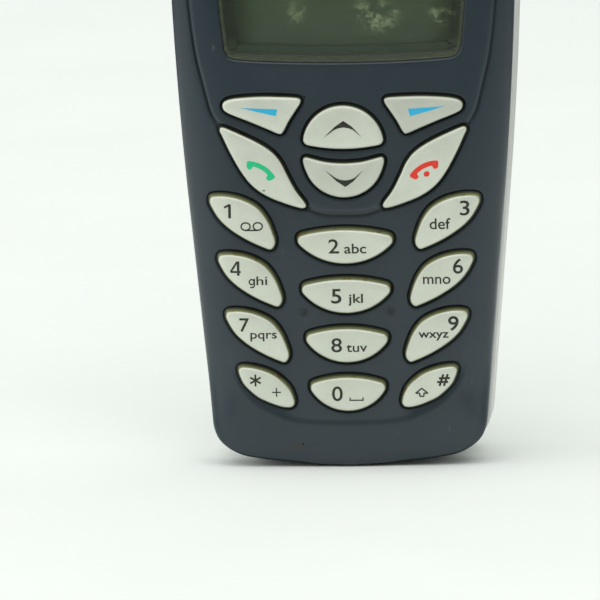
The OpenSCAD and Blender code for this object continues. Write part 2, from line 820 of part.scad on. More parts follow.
module frame() {
    color([0.62, 0.63, 0.62])
    difference() {
        union() {
            difference() {
                slab(board_back, frame_back)
                    outline_2d(frame_inset);
                slab(board_back - past, frame_back + past)
                    outline_2d(frame_inset + frame_wall);
            }
            slab(plate_y, plate_back)
                outline_2d(frame_inset);
            for (p = screw_places)
                bar_y(p, screw_boss_r, board_back, plate_y + plate_t / 2);
            intersection() {
                slab(plate_y, carrier_back)
                    outline_2d(carrier_inset);
                block([-body_w, 0, carrier_z[0]], [body_w, body_w, carrier_z[1]]);
            }
            block([-release_post / 2, plate_y, release_z0 + (release_l - release_post) / 2],
                  [release_post / 2, release_in - release_travel - press_gap,
                   release_z0 + (release_l + release_post) / 2]);
            block([motor_c[0] + cradle_end, motor_c[1] + motor_r + lay_gap, motor_c[2] - cradle_t],
                  [motor_c[0] + motor_l - cradle_end, plate_back, motor_c[2] + cradle_t]);
        }
        for (p = screw_places)
            bar_y(p, screw_r + screw_gap, board_back - past, board_y + screw_l + lay_gap);
        block([-block_half_w - lay_gap, board_y - past, -past],
              [block_half_w + lay_gap, frame_back + past, block_l + lay_gap]);
        block([-power_w, board_back - past, power_base_z - power_travel - past], [power_w, plate_y, body_l]);
    }
}

// Connector block at the foot, with the two sockets

socket_y = (board_back + block_back) / 2;

// A round bar up from the foot
module bar_z(x, r, z0, z1) {
    translate([x, socket_y, z0])
        cylinder(r = r, h = z1 - z0);
}

module connector_block() {
    color([0.13, 0.13, 0.14])
    difference() {
        block([-block_half_w, board_back + lay_gap, 0], [block_half_w, block_back, block_l]);
        bar_z(charger_x, charger_bore / 2 + sleeve_wall + lay_gap, -past, charger_depth);
        bar_z(headset_x, headset_bore / 2 + sleeve_wall + lay_gap, -past, headset_depth);
    }
}

module sleeve(x, bore, depth) {
    difference() {
        bar_z(x, bore / 2 + sleeve_wall, 0, depth);
        bar_z(x, bore / 2, -past, depth + past);
    }
}

module charger_sleeve() {
    color([0.75, 0.73, 0.68])
    sleeve(charger_x, charger_bore, charger_depth);
}

module headset_sleeve() {
    color([0.75, 0.73, 0.68])
    sleeve(headset_x, headset_bore, headset_depth);
}

// Card, battery and antenna behind the frame's middle plate

card_z0 = 13.2;
card_gap = 0.12;
holder_wall = 0.6;
holder_floor = 0.4;
card_y = plate_back + holder_floor + card_gap;

module card_holder() {
    color([0.78, 0.77, 0.74])
    difference() {
        block([-card_l / 2 - card_gap - holder_wall, plate_back, card_z0 - card_gap - holder_wall],
              [card_l / 2 + card_gap + holder_wall, card_y + card_t + card_gap + holder_wall, card_z0 + card_w]);
        block([-card_l / 2 - card_gap, card_y - card_gap, card_z0 - card_gap],
              [card_l / 2 + card_gap, card_y + card_t + card_gap, card_z0 + card_w + past]);
    }
}

module card() {
    color([0.9, 0.9, 0.88])
    block([-card_l / 2, card_y, card_z0], [card_l / 2, card_y + card_t, card_z0 + card_w]);
}

battery_gap = 0.2;
battery_y = plate_back + battery_gap;
battery_w = body_w - 2 * battery_side;
contact_w = 1.6;
contact_pitch = 4;
contact_l = 2.6;
contact_t = 3.6;

module battery() {
    color([0.2, 0.2, 0.22])
    block([-battery_w / 2, battery_y, battery_z0],
          [battery_w / 2, battery_y + battery_t, battery_z0 + battery_l]);
}

module battery_contacts() {
    color([0.85, 0.7, 0.35])
    for (i = [-1 : 1])
        block([i * contact_pitch - contact_w / 2, plate_back, battery_z0 + battery_l + lay_gap],
              [i * contact_pitch + contact_w / 2, plate_back + contact_t, battery_z0 + battery_l + contact_l]);
}

antenna_t = 0.3;

module antenna() {
    color([0.8, 0.6, 0.35])
    intersection() {
        slab(carrier_back, carrier_back + antenna_t)
            outline_2d(carrier_inset);
        block([-body_w, 0, carrier_z[0]], [body_w, body_w, carrier_z[1]]);
    }
}

// Rear cover and top cap are cut from one shell

cap_gap = 0.2;
cover_top_z = body_l - cap_l;

module rear_shell() {
    difference() {
        cover_loft([
            for (i = [edge_steps : -1 : 0]) rear_ring(i, 0),
            flat_ring(outline, parting_gap / 2)]);
        cover_loft([
            for (i = [edge_steps : -1 : 0]) rear_ring(i, rear_wall),
            flat_ring(outline_in(rear_wall), -past)]);
    }
}

module rear_cover() {
    color([0.72, 0.74, 0.73])
    difference() {
        rear_shell();
        above(cover_top_z);
        block([-notch_half_w, -past, -past], [notch_half_w, block_back + button_gap, corner_r]);
    }
}

// Release button fills a notch in the top cap, right over the rear cover's upper edge

release_z0 = cover_top_z + cap_gap;
release_stem = 2.4;
release_in = rear_d - rear_wall - release_stem;
release_post = 3;
release_lip_w = 8;
release_lip_l = 3;
release_lip_t = 1;

module top_cap() {
    color([0.72, 0.74, 0.73])
    difference() {
        intersection() {
            rear_shell();
            above(cover_top_z + cap_gap);
        }
        power_hole(button_gap);
        block([-release_w / 2 - button_gap, rear_d / 2, release_z0 - past],
              [release_w / 2 + button_gap, rear_d + past, release_z0 + release_l + button_gap]);
    }
}

module release_button() {
    color([0.35, 0.37, 0.4])
    union() {
        block([-release_w / 2, release_in, release_z0],
              [release_w / 2, rear_d + release_rise, release_z0 + release_l]);
        block([-release_lip_w / 2, rear_d - rear_wall - button_gap - release_lip_t, release_z0 - release_lip_l],
              [release_lip_w / 2, rear_d - rear_wall - button_gap, release_z0 + release_l / 2]);
    }
}

// Power button in the top end, over its switch on the board

power_stem_w = 3;
power_skirt = 0.8;
power_base_z = body_l - front_wall - power_skirt;
switch_w = 5;
switch_back = 1.2;
switch_l = 4.2;
switch_rise = 1.2;
switch_top = board_top + switch_rise;

module power_button() {
    color([0.2, 0.22, 0.26])
    union() {
        translate([0, 0, power_base_z])
            linear_extrude(body_l + power_rise - power_base_z)
                stadium(power_w, power_d);
        block([-power_stem_w / 2, -power_d / 2, switch_top + power_travel + press_gap],
              [power_stem_w / 2, switch_back, power_base_z + power_skirt]);
    }
}

module power_switch() {
    color([0.75, 0.75, 0.72])
    block([-switch_w / 2, board_back, switch_top - switch_l], [switch_w / 2, switch_back, switch_top]);
}

front_cover();
display_window();
window_gasket();
display_panel();
display_frame();
earpiece_mesh();
earpiece();
keymat();
dome_sheet();
circuit_board();
shield_cans();
chips();
backlight_leds();
microphone();
microphone_boot();
buzzer();
vibration_motor();
vibration_weight();
frame();
connector_block();
charger_sleeve();
headset_sleeve();
card_holder();
card();
battery();
battery_contacts();
antenna();
top_cap();
rear_cover();
release_button();
power_button();
power_switch();
board_screws();
for (k = KEYS)
    key(k);
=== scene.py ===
import math

import bmesh
import bpy
import numpy as np
from mathutils import Matrix, Vector
from mathutils.geometry import delaunay_2d_cdt


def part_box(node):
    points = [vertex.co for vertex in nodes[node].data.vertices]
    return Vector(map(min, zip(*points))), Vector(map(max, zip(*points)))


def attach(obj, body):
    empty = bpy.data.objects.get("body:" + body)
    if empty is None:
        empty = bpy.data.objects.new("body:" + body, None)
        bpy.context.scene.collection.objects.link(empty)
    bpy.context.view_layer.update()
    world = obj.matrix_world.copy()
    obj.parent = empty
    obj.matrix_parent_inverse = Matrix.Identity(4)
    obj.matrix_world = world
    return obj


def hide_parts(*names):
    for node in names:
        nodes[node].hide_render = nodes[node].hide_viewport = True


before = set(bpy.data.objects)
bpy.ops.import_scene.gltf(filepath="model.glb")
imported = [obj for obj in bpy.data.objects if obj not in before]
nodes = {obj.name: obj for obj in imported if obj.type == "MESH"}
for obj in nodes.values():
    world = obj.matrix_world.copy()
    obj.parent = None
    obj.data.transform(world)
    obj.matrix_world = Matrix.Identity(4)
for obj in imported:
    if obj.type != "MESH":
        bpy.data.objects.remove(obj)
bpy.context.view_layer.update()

# Front cover
# The front cover is one moulding of satin blue-grey plastic with a fine grain. It has a hole for each key,
# a recess for the window, a raised panel round the display and a lower chin, and it clips to the frame.

MM = 0.001
body_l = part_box("front_cover")[1].z / MM
body_w = 2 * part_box("front_cover")[1].x / MM
widest_z = 93.0
straight_z = 37.0
side_lean = math.radians(5.1)
foot_flat = 5.0
foot_r = 50.0
corner_r = 6.3
top_power = 2.4
spine_low = 16.0
spine_high = body_l - 22.0

lean_t = math.tan(side_lean)
side_x0 = body_w / 2 - lean_t * (straight_z + widest_z) / 2
corner_x0 = side_x0 - corner_r / math.cos(side_lean) - foot_flat
corner_b = foot_r - corner_x0 * lean_t
corner_q = corner_x0 ** 2 + foot_r ** 2 - (foot_r - corner_r) ** 2
corner_a = 1 + lean_t ** 2
corner_z = (corner_b - math.sqrt(corner_b ** 2 - corner_a * corner_q)) / corner_a
corner_x = corner_x0 + lean_t * corner_z + foot_flat
foot_angle = math.atan2(corner_z - foot_r, corner_x - foot_flat)
side_z0 = corner_z - corner_r * math.sin(side_lean)


def smooth(t):
    """Smoothstep: 0 below 0, 1 above 1, and an even S between."""
    t = np.clip(t, 0, 1)
    return t * t * (3 - 2 * t)


def half_width(z):
    """Half the phone's width at a height: a straight lean that eases upright by the widest place, then a
    superellipse up to the top."""
    lean = side_x0 + lean_t * z - lean_t * np.maximum(0, z - straight_z) ** 2 / (2 * (widest_z - straight_z))
    share = np.maximum(0, z - widest_z) / (body_l - widest_z)
    top = body_w / 2 * np.maximum(0, 1 - share ** top_power) ** (1 / top_power)
    return np.where(z > widest_z, top, lean)


def arc(x, z, r, start, end, count):
    """Points of a circle's arc between two angles in radians."""
    turn = np.linspace(start, end, count)
    return np.stack([x + r * np.cos(turn), z + r * np.sin(turn)], 1)


def both_sides(half):
    """A closed line from its right-hand half, which runs from its lowest to its highest middle point."""
    return np.vstack([half, half[-2:0:-1] * [-1, 1]])


def evenly(points, step):
    """A closed line with its points set anew at equal steps along it."""
    ring = np.vstack([points, points[:1]])
    run = np.concatenate([[0], np.cumsum(np.hypot(*np.diff(ring, axis=0).T))])
    at = np.linspace(0, run[-1], round(run[-1] / step), endpoint=False)
    return np.stack([np.interp(at, run, ring[:, 0]), np.interp(at, run, ring[:, 1])], 1)


def spline(points, steps=12):
    """Closed smooth curve through a few points: on each span, the cubic whose slopes at its ends are half
    the line between the neighbouring points."""
    b = np.asarray(points, float)
    a, c, d = np.roll(b, 1, 0), np.roll(b, -1, 0), np.roll(b, -2, 0)
    t = np.linspace(0, 1, steps, endpoint=False)[None, :, None]
    a, b, c, d = (p[:, None, :] for p in (a, b, c, d))
    bend, twist = 2 * a - 5 * b + 4 * c - d, 3 * b - a - 3 * c + d
    curve = 0.5 * (2 * b + (c - a) * t + bend * t ** 2 + twist * t ** 3)
    return curve.reshape(-1, 2)


def grown(points, distance):
    """A closed anticlockwise line moved outwards along its normals."""
    along = np.roll(points, -1, 0) - np.roll(points, 1, 0)
    out = np.stack([along[:, 1], -along[:, 0]], 1)
    return points + distance * out / np.linalg.norm(out, axis=1, keepdims=True)


def depth_inside(places, line, block=4000):
    """Signed distance of places from a closed anticlockwise line, positive inside: the way to the nearest
    point of the line, measured along the line's normal there."""
    inward = line - grown(line, 1.0)
    found = []
    for start in range(0, len(places), block):
        some = places[start:start + block]
        apart = some[:, None, :] - line[None, :, :]
        near = np.argmin((apart ** 2).sum(2), axis=1)
        way = apart[np.arange(len(some)), near]
        found.append(np.hypot(way[:, 0], way[:, 1]) * np.sign((way * inward[near]).sum(1)))
    return np.concatenate(found)


top_angle = np.linspace(0, math.pi / 2, 120)[1:]
side_heights = np.linspace(side_z0, widest_z, 160)[1:]
body_half = np.vstack([
    [[0, 0]],
    arc(foot_flat, foot_r, foot_r, -math.pi / 2, foot_angle, 60),
    arc(corner_x, corner_z, corner_r, foot_angle, -side_lean, 60)[1:],
    np.stack([half_width(side_heights), side_heights], 1),
    np.stack([body_w / 2 * np.cos(top_angle) ** (2 / top_power),
              widest_z + (body_l - widest_z) * np.sin(top_angle) ** (2 / top_power)], 1)])
body_half[-1, 0] = 0
outline_step = 0.45
outline = evenly(both_sides(body_half), outline_step)


def end_reach(spine_z, points):
    """For one rounded end, the turn of each outline point about the spine's end and its distance."""
    way = points - [0, spine_z]
    turn = np.arctan2(way[:, 0], way[:, 1])
    order = np.argsort(turn)
    return turn[order], np.hypot(way[:, 0], way[:, 1])[order]


foot_reach = end_reach(spine_low, body_half[body_half[:, 1] <= spine_low])
top_reach = end_reach(spine_high, body_half[body_half[:, 1] >= spine_high])


def edge_place(x, z):
    """How far a place lies inside the outline, measured away from a spine up the middle, and the outline
    point in that direction."""
    spine = np.clip(z, spine_low, spine_high)
    turn = np.arctan2(np.abs(x), z - spine)
    reach = np.where(z < spine_low, np.interp(turn, *foot_reach),
                     np.where(z > spine_high, np.interp(turn, *top_reach), half_width(z)))
    return reach - np.hypot(x, z - spine), reach * np.sin(turn), spine + reach * np.cos(turn)


foot_blend = 14.0
foot_edge = 2.2
foot_side = 0.85


def edge_sizes(z, edge, side):
    """Width of a cover's rounded edge and the share of its depth that the straight side wall takes, both
    blending over from the foot's own values."""
    ease = smooth(z / foot_blend)
    return foot_edge + (edge - foot_edge) * ease, foot_side + (side - foot_side) * ease


front_d = 9.4
front_bow = 1.4
bow_z = 70.0
front_edge = 7.5
front_side = 0.55
front_wall = 1.6
parting_gap = 0.1
side_trim = 0.33
foot_rise = 110.0
foot_lift = 0.28
lift_from = 7.0
lift_run = 6.0
foot_from = 0.8
foot_run = 3.6
foot_trim = 0.82


def front_trim(x, z):
    """How far the front cover's border stays inside the outline, at an outline point: a little along the
    sides, where the rear cover's edge shows, and at the foot by its own rounder curve, which is lifted in
    its middle."""
    foot = x ** 2 / foot_rise - np.maximum(0, np.abs(x) - foot_flat) ** 2 / (2 * foot_r)
    foot = foot + foot_lift * (1 - smooth((np.abs(x) - lift_from) / lift_run))
    at_foot = 1 - smooth((z - foot_from) / foot_run)
    return np.minimum(foot, foot_trim) * at_foot + side_trim * (1 - at_foot)


def front_depth(z):
    """Depth of the front cover along its middle: a shallow bow that is foremost at bow_z."""
    return front_d - front_bow * ((z - bow_z) / (bow_z - side_z0)) ** 2


def front_y(x, z):
    """The front cover's plain face: a quarter ellipse leads from the side wall up to the full depth."""
    inset, edge_x, edge_z = edge_place(x, z)
    width, side = edge_sizes(edge_z, front_edge, front_side)
    lack = np.clip(1 - (inset - front_trim(edge_x, edge_z)) / width, 0, 1)
    return -(side + (1 - side) * np.sqrt(1 - lack ** 2)) * front_depth(z)


# Raised panel: its edge runs hidden through the holes of the call and end keys
panel_half = [(0, 36.8), (3, 36.95), (5.2, 37.7), (8.3, 39.1), (12.4, 41.5), (15.4, 46), (17.2, 49.1),
              (18.75, 51.5), (19.8, 55.4), (20.85, 60), (21.6, 66), (22.2, 74), (22.5, 84), (22.2, 94),
              (20.6, 102), (16.5, 109), (9.5, 113.2), (0, 114.4)]
panel_step = 0.3
panel_line = evenly(spline(both_sides(np.array(panel_half))), panel_step)
panel_rise = 0.2
panel_bevel = 0.4
panel_groove = 0.22
groove_w = 0.14
low_from = 38.0
low_run = 7.0
low_groove = 0.75
# Keypad plateau: its lower edge steps down to the chin and fades out up the sides
plateau_half = [(0, 6.57), (7, 6.95), (10.2, 8.05), (12.7, 9.4), (14.7, 11.3), (16, 13.6), (17, 17.5),
                (18, 25), (16, 36), (0, 37)]
plateau_line = evenly(spline(both_sides(np.array(plateau_half))), outline_step)
chin_drop = 0.7
chin_step = 1.3
chin_fade = (10.0, 19.0)
relief_fade = 1.5
pip_place = (6.2, 22.57)
pip_r = 0.45
pip_rise = 0.16


def low_edge(z):
    """Share of the panel's lower edge, where its crease is wider and shallower than up the sides."""
    return 1 - smooth((z - low_from) / low_run)


def pip_distance(places):
    """Distance of places, seen from the front, to the middle of the nearer pip."""
    return np.hypot(np.abs(places[:, 0]) - pip_place[0], places[:, 1] - pip_place[1])


def relief(x, z):
    """How far the moulded detail lies behind the plain face: minus the raised panel with its bevel, plus the
    groove along its edge, plus the drop of the chin, minus two round pips."""
    places = np.stack([x, z], 1)
    panel = depth_inside(places, panel_line)
    soft = low_edge(z)
    groove = panel_groove * (1 - low_groove * soft) * np.exp(-(panel / (groove_w * (1 + soft))) ** 2)
    raised = -panel_rise * smooth(panel / (panel_bevel * (1 + soft))) + groove
    plateau = depth_inside(places, plateau_line)
    drop = chin_drop * (1 - smooth(plateau / chin_step + 0.5))
    drop = drop * (1 - smooth((z - chin_fade[0]) / (chin_fade[1] - chin_fade[0]))) * (z < chin_fade[1])
    pip = -pip_rise * np.sqrt(np.maximum(0, 1 - (pip_distance(places) / pip_r) ** 2))
    return (raised + drop) * smooth(edge_place(x, z)[0] / relief_fade) + pip


# Holes: keys are drawn on the right-hand side and mirrored
leaf = np.array([
    (4.05, 3.7), (2.2, 3.77), (0, 3.27), (-2.05, 2.15), (-3.4, 0.45), (-4.25, -1.55), (-4.55, -2.95),
    (-4, -3.85), (-3, -3.6), (-0.6, -2.45), (1.7, -0.95), (3.3, 0.55), (4.4, 2.35), (4.58, 3.15)])
hash_leaf = np.array([
    (3.15, 2.95), (1.6, 2.77), (0, 2.3), (-1.3, 1.65), (-2.35, 0.8), (-3.2, -0.15), (-3.7, -1.1),
    (-4, -2.3), (-3.6, -2.9), (-2.7, -2.95), (-1.5, -2.65), (0, -2.05), (1.3, -1.35), (2.75, -0.05),
    (3.45, 0.9), (3.95, 2.25), (3.75, 2.75)])
soft_key = [(6.3, 53.75), (6, 53.2), (6.6, 52.2), (7.65, 50.6), (8.55, 48.95), (9.1, 48.75), (10.6, 49.4),
            (13.4, 50.6), (16.2, 51.75), (16.9, 52.5), (16.65, 53.3), (15.2, 53.75), (12, 53.98), (9, 53.95)]
end_key = [(17.05, 49.5), (15.6, 48.95), (13.4, 47.95), (11.3, 46.8), (9.85, 45.65), (8.85, 44.3),
           (8.1, 42.7), (6.95, 40.45), (5.75, 38.8), (5.5, 38.15), (6.15, 37.95), (8.3, 38.6),
           (10.8, 39.65), (12.8, 41.05), (14.35, 43), (15.9, 45.8), (17.05, 48.3), (17.4, 49.1)]
soft_drop = 0.1
scroll_r = 5.62
scroll_cut = 0.8
scroll_low = 1.3
scroll_up_z = 47.75
scroll_down_z = 45.1
tip_r = 0.8


def almond(half, up, down, tip):
    """Two arcs over and under a line, whose ends are rounded by small circles that touch both."""
    reach = half - tip
    r1 = (reach ** 2 + up ** 2 - tip ** 2) / (2 * (up - tip))
    r2 = (reach ** 2 + down ** 2 - tip ** 2) / (2 * (down - tip))
    a1 = math.atan2(r1 - up, reach)
    a2 = math.atan2(r2 - down, reach)
    return np.vstack([
        arc(0, up - r1, r1, a1, math.pi - a1, 40)[:-1],
        arc(-reach, 0, tip, math.pi - a1, math.pi + a2, 20)[:-1],
        arc(0, r2 - down, r2, math.pi + a2, 2 * math.pi - a2, 40)[:-1],
        arc(reach, 0, tip, -a2, a1, 20)[:-1]])


scroll_left = [(0, -0.8), (-2.6, -0.6), (-4.6, -0.1), (-5.45, 0.05), (-5.7, -0.5)]
scroll_right = [(5.7, -0.5), (5.45, 0.05), (4.6, -0.1), (2.6, -0.6)]
scroll_arc = arc(0, 0, scroll_r, math.radians(-160), math.radians(-20), 11)
scroll_down = spline(np.vstack([scroll_left, scroll_arc, scroll_right]))
centre_heights = (33.22, 26.07, 18.92, 11.87)
centre_half = 6.72
centre_step = 0.48
centre_up = 1.53
centre_down = 3.3


def centre_key(row):
    """One of the four almond keys up the middle, each a little narrower than the one over it."""
    shape = almond(centre_half - row * centre_step, centre_up, centre_down, tip_r)
    return shape + [0, centre_heights[row]]


flip = np.array([-1.0, 1.0])
side_keys = {
    ("key_soft_left", "key_soft_right"): spline(soft_key) - [0, soft_drop],
    ("key_call", "key_end"): spline(end_key),
    ("key_1", "key_3"): spline(leaf + [14.5, 35.85]),
    ("key_4", "key_6"): spline(leaf * 0.976 + [13.55, 27.5]),
    ("key_7", "key_9"): spline(leaf * 0.963 + [12.7, 19.37]),
    ("key_star", "key_hash"): spline(hash_leaf * 0.985 + [11.6, 12.0])}
key_outlines = {
    "key_scroll_up": almond(scroll_r, scroll_r - scroll_cut, scroll_low, tip_r) + [0, scroll_up_z],
    "key_scroll_down": scroll_down + [0, scroll_down_z]}
for row, name in enumerate(("key_2", "key_5", "key_8", "key_0")):
    key_outlines[name] = centre_key(row)
for (left, right), shape in side_keys.items():
    key_outlines[right] = shape
    key_outlines[left] = shape[::-1] * flip
key_step = 0.22
key_grow = 0.05
key_shift = -0.07
key_lean = 0.0065
key_tilt = np.array([[1, -key_lean], [0, 1]])
key_outlines = {name: grown(evenly(shape, key_step), key_grow) @ key_tilt + [key_shift, 0]
                for name, shape in key_outlines.items()}
window_half = [(0, 58.7), (8, 58.85), (14.2, 59.2), (16, 59.6), (16.6, 60.5), (16.85, 62), (17.4, 67.8),
               (17.8, 74), (17.8, 80), (17.1, 85.5), (15.4, 89), (12, 90.6), (6, 91.4), (0, 91.6)]
window_step = 0.35
window_line = evenly(spline(both_sides(np.array(window_half))), window_step)
key_gap = 0.32
upper_gap = 0.14
number_top = 40.0
key_fillet = 0.26
window_gap = 0.09
window_fillet = 0.3
window_back = -8.1
ledge_side_w = 0.4
ledge_foot_w = 0.9
ledge_back = -7.3
slot_pitch = 2.6
slot_l = 4.0
slot_less = 0.6
slot_fall = 0.4
slot_w = 1.2
slot_fillet = 0.2
earpiece_z = body_l - 14
microphone_place = (-6.7, 3.45)
microphone_r = 0.1
microphone_fillet = 0.05
up_from = -0.1
up_run = 0.9


def circle(x, z, r):
    """Points of a full circle."""
    return arc(x, z, r, 0, 2 * math.pi, 17)[:-1]


def stadium(length, width, count=10):
    """A slot's outline with round ends, long along its first axis."""
    half = (length - width) / 2
    return np.vstack([arc(half, 0, width / 2, -math.pi / 2, math.pi / 2, count),
                      arc(-half, 0, width / 2, math.pi / 2, 1.5 * math.pi, count)])


def faces_up(line):
    """Share by which the outer side of a closed line faces up, from 0 below to 1 on top."""
    return smooth(((grown(line, 1.0) - line)[:, 1] - up_from) / up_run)


def gap_round(line):
    """Gap between a key and its hole at each point of the key's outline, wider above the number keys."""
    return key_gap + upper_gap * (line[:, 1].mean() < number_top) * faces_up(line)


# Every hole: the line of its wall and the radius that rounds its upper edge
holes = [(grown(shape, gap_round(shape)[:, None]), key_fillet) for shape in key_outlines.values()]
holes.append((grown(window_line, window_gap), window_fillet))
for place in range(-2, 3):
    slot = stadium(slot_l - slot_less * abs(place), slot_w)[:, ::-1] * flip
    holes.append((slot + [place * slot_pitch, earpiece_z - slot_fall * abs(place)], slot_fillet))
holes.append((circle(*microphone_place, microphone_r), microphone_fillet))
hole_rims = [grown(wall, fillet) for wall, fillet in holes]

# The rounded border is a grid, from the side wall up to where the face is flat enough to be triangulated
border_turn = math.radians(32)
spine_points = np.stack([np.zeros(len(outline)), np.clip(outline[:, 1], spine_low, spine_high)], 1)
to_spine = spine_points - outline
spine_reach = np.linalg.norm(to_spine, axis=1)


def border_ring(turn):
    """The line round the cover at a turn along its rounded edge: the outline drawn in towards the spine by
    the border's trim and the edge's width times one minus the cosine."""
    width, _ = edge_sizes(outline[:, 1], front_edge, front_side)
    inset = front_trim(outline[:, 0], outline[:, 1]) + width * (1 - math.cos(turn))
    return outline + inset[:, None] * to_spine / spine_reach[:, None]


def face_y(points):
    """Depth of the moulded face, plain form and relief together."""
    return front_y(points[:, 0], points[:, 1]) + relief(points[:, 0], points[:, 1])


face_ring = border_ring(border_turn)
# Loose points of the face: an even grid, and loops close to each line where the relief bends
grid_half = 26
grid_pitch = (0.75, 0.65)
panel_room = 0.55
step_room = 0.75
panel_loops = (-0.36, -0.18, -0.08, 0, 0.08, 0.18, 0.36, 0.72)
plateau_loops = (-0.85, -0.6, -0.45, -0.3, -0.15, 0, 0.15, 0.3, 0.45, 0.6, 0.85)
rim_loops = (0.22, 0.45, 0.8)
pip_loops = (0.4, 0.75, 0.97, 1.3)
border_room = 0.3
rim_room = 0.16
across, up = np.meshgrid(np.arange(-grid_half, grid_half, grid_pitch[0]), np.arange(0, body_l, grid_pitch[1]))
across[1::2] += grid_pitch[0] / 2
grid = np.stack([across.ravel(), up.ravel()], 1)
at_step = (np.abs(depth_inside(grid, plateau_line)) < step_room) & (grid[:, 1] < chin_fade[1])
loose = [grid[(np.abs(depth_inside(grid, panel_line)) > panel_room) & ~at_step]]
loose += [grown(panel_line, -step) for step in panel_loops]
loose += [grown(plateau_line, -step) for step in plateau_loops]
loose += [grown(rim, step) for rim in hole_rims[:len(key_outlines)] for step in rim_loops]
loose += [circle(side * pip_place[0], pip_place[1], pip_r * share) for side in (-1, 1) for share in pip_loops]
loose = np.vstack(loose)
keep = depth_inside(loose, face_ring) > border_room
for rim in hole_rims:
    keep &= depth_inside(loose, rim) < -rim_room
loops = [face_ring] + hole_rims
starts = np.cumsum([0] + [len(loop) for loop in loops])
flat = np.vstack(loops + [loose[keep]])
seams = [(start + i, start + (i + 1) % len(loop))
         for start, loop in zip(starts, loops) for i in range(len(loop))]
made = delaunay_2d_cdt([Vector(p) for p in flat], seams, [], 0, 1e-7)
flat = np.array([tuple(v) for v in made[0]])
triangles = np.array([f for f in made[2] if len(f) == 3])
middles = flat[triangles].mean(1)
inside = depth_inside(middles, face_ring) > 0
for rim in hole_rims:
    inside &= depth_inside(middles, rim) < 0
triangles = triangles[inside].tolist()


def at_depth(points, y):
    """Places in the phone's frame, in millimetres, from a line seen from the front and its depths."""
    return np.stack([points[:, 0], np.broadcast_to(y, len(points)), points[:, 1]], 1)


def strip_faces(rows, columns, closed=True):
    """Quads between neighbouring rows of a grid whose rows are rings, or open lines."""
    last = columns if closed else columns - 1
    k, i = np.meshgrid(np.arange(rows - 1), np.arange(last), indexing="ij")
    j = (i + 1) % columns
    low, high = k * columns, (k + 1) * columns
    return np.stack([low + i, low + j, high + j, high + i], -1).reshape(-1, 4).tolist()


def put(name, data):
    """A new object in the scene."""
    made = bpy.data.objects.new(name, data)
    bpy.context.scene.collection.objects.link(made)
    return made


def piece(name, parts, material, body, weld=0.0004, smooth_shaded=True):
    """One closed piece from parts of (points in millimetres, faces), welded along their seams, if they have
    any, and turned outwards, with its finish, riding on a body."""
    points = np.vstack([p for p, _ in parts]) * MM
    shift = np.cumsum([0] + [len(p) for p, _ in parts]).tolist()
    faces = [tuple(i + s for i in f) for (_, fs), s in zip(parts, shift) for f in fs]
    mesh = bpy.data.meshes.new(name)
    mesh.from_pydata(points.tolist(), [], faces)
    shell = bmesh.new()
    shell.from_mesh(mesh)
    if weld:
        bmesh.ops.remove_doubles(shell, verts=shell.verts, dist=weld * MM)
        bmesh.ops.dissolve_degenerate(shell, edges=shell.edges, dist=weld * MM)
    bmesh.ops.recalc_face_normals(shell, faces=shell.faces)
    shell.to_mesh(mesh)
    shell.free()
    mesh.polygons.foreach_set("use_smooth", [smooth_shaded] * len(mesh.polygons))
    mesh.materials.append(material)
    made_piece = put(name, mesh)
    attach(made_piece, body)
    return made_piece


def finish(name, colour, roughness, metallic=0.0, specular=0.5):
    """A new material whose constant values sit on the shader's own sockets."""
    material = bpy.data.materials.new(name)
    material.use_nodes = True
    shader = material.node_tree.nodes["Principled BSDF"]
    shader.inputs["Base Color"].default_value = (*colour, 1)
    shader.inputs["Roughness"].default_value = roughness
    shader.inputs["Metallic"].default_value = metallic
    shader.inputs["Specular IOR Level"].default_value = specular
    return material


def add_node(material, kind, **values):
    """A node of one kind with its values set."""
    node = material.node_tree.nodes.new(kind)
    for key, value in values.items():
        setattr(node, key, value)
    return node


def connect(material, socket, target):
    """Links a socket to a socket of the material's shader, named, or to any other."""
    if isinstance(target, str):
        target = material.node_tree.nodes["Principled BSDF"].inputs[target]
    material.node_tree.links.new(socket, target)


def own_coords(material):
    """Places in a piece's own coordinates."""
    return add_node(material, "ShaderNodeTexCoord").outputs["Object"]


def grain(material, size, detail=2.0, stretch=(1, 1, 1), rough=0.5):
    """Noise on the piece's own coordinates, with blotches about size millimetres across."""
    mapping = add_node(material, "ShaderNodeMapping")
    mapping.inputs["Scale"].default_value = [s / (size * MM) for s in stretch]
    noise = add_node(material, "ShaderNodeTexNoise")
    noise.inputs["Scale"].default_value = 1.0
    noise.inputs["Detail"].default_value = detail
    noise.inputs["Roughness"].default_value = rough
    connect(material, own_coords(material), mapping.inputs["Vector"])
    connect(material, mapping.outputs["Vector"], noise.inputs["Vector"])
    return noise.outputs[0]


def ramp(material, socket, *stops):
    """A colour for each value, blended between stops of (value, colour or grey)."""
    node = add_node(material, "ShaderNodeValToRGB")
    elements = node.color_ramp.elements
    while len(elements) < len(stops):
        elements.new(0.5)
    for element, (place, colour) in zip(elements, stops):
        element.position = place
        element.color = (*colour, 1) if isinstance(colour, tuple) else (colour, colour, colour, 1)
    connect(material, socket, node.inputs[0])
    return node.outputs[0]


def mottled(material, size, detail, low, high):
    """A colour or a value that goes between two, in blotches about size millimetres across."""
    return ramp(material, grain(material, size, detail), (0.3, low), (0.7, high))


def blend(material, share, first, second, mode="MIX"):
    """Two colours mixed by a share, each a socket or a plain colour."""
    node = add_node(material, "ShaderNodeMix", data_type="RGBA", blend_type=mode)
    for socket, value in ((node.inputs[0], share), (node.inputs[6], first), (node.inputs[7], second)):
        if isinstance(value, bpy.types.NodeSocket):
            connect(material, value, socket)
        elif isinstance(value, tuple):
            socket.default_value = (*value, 1)
        else:
            socket.default_value = value
    return node.outputs[2]


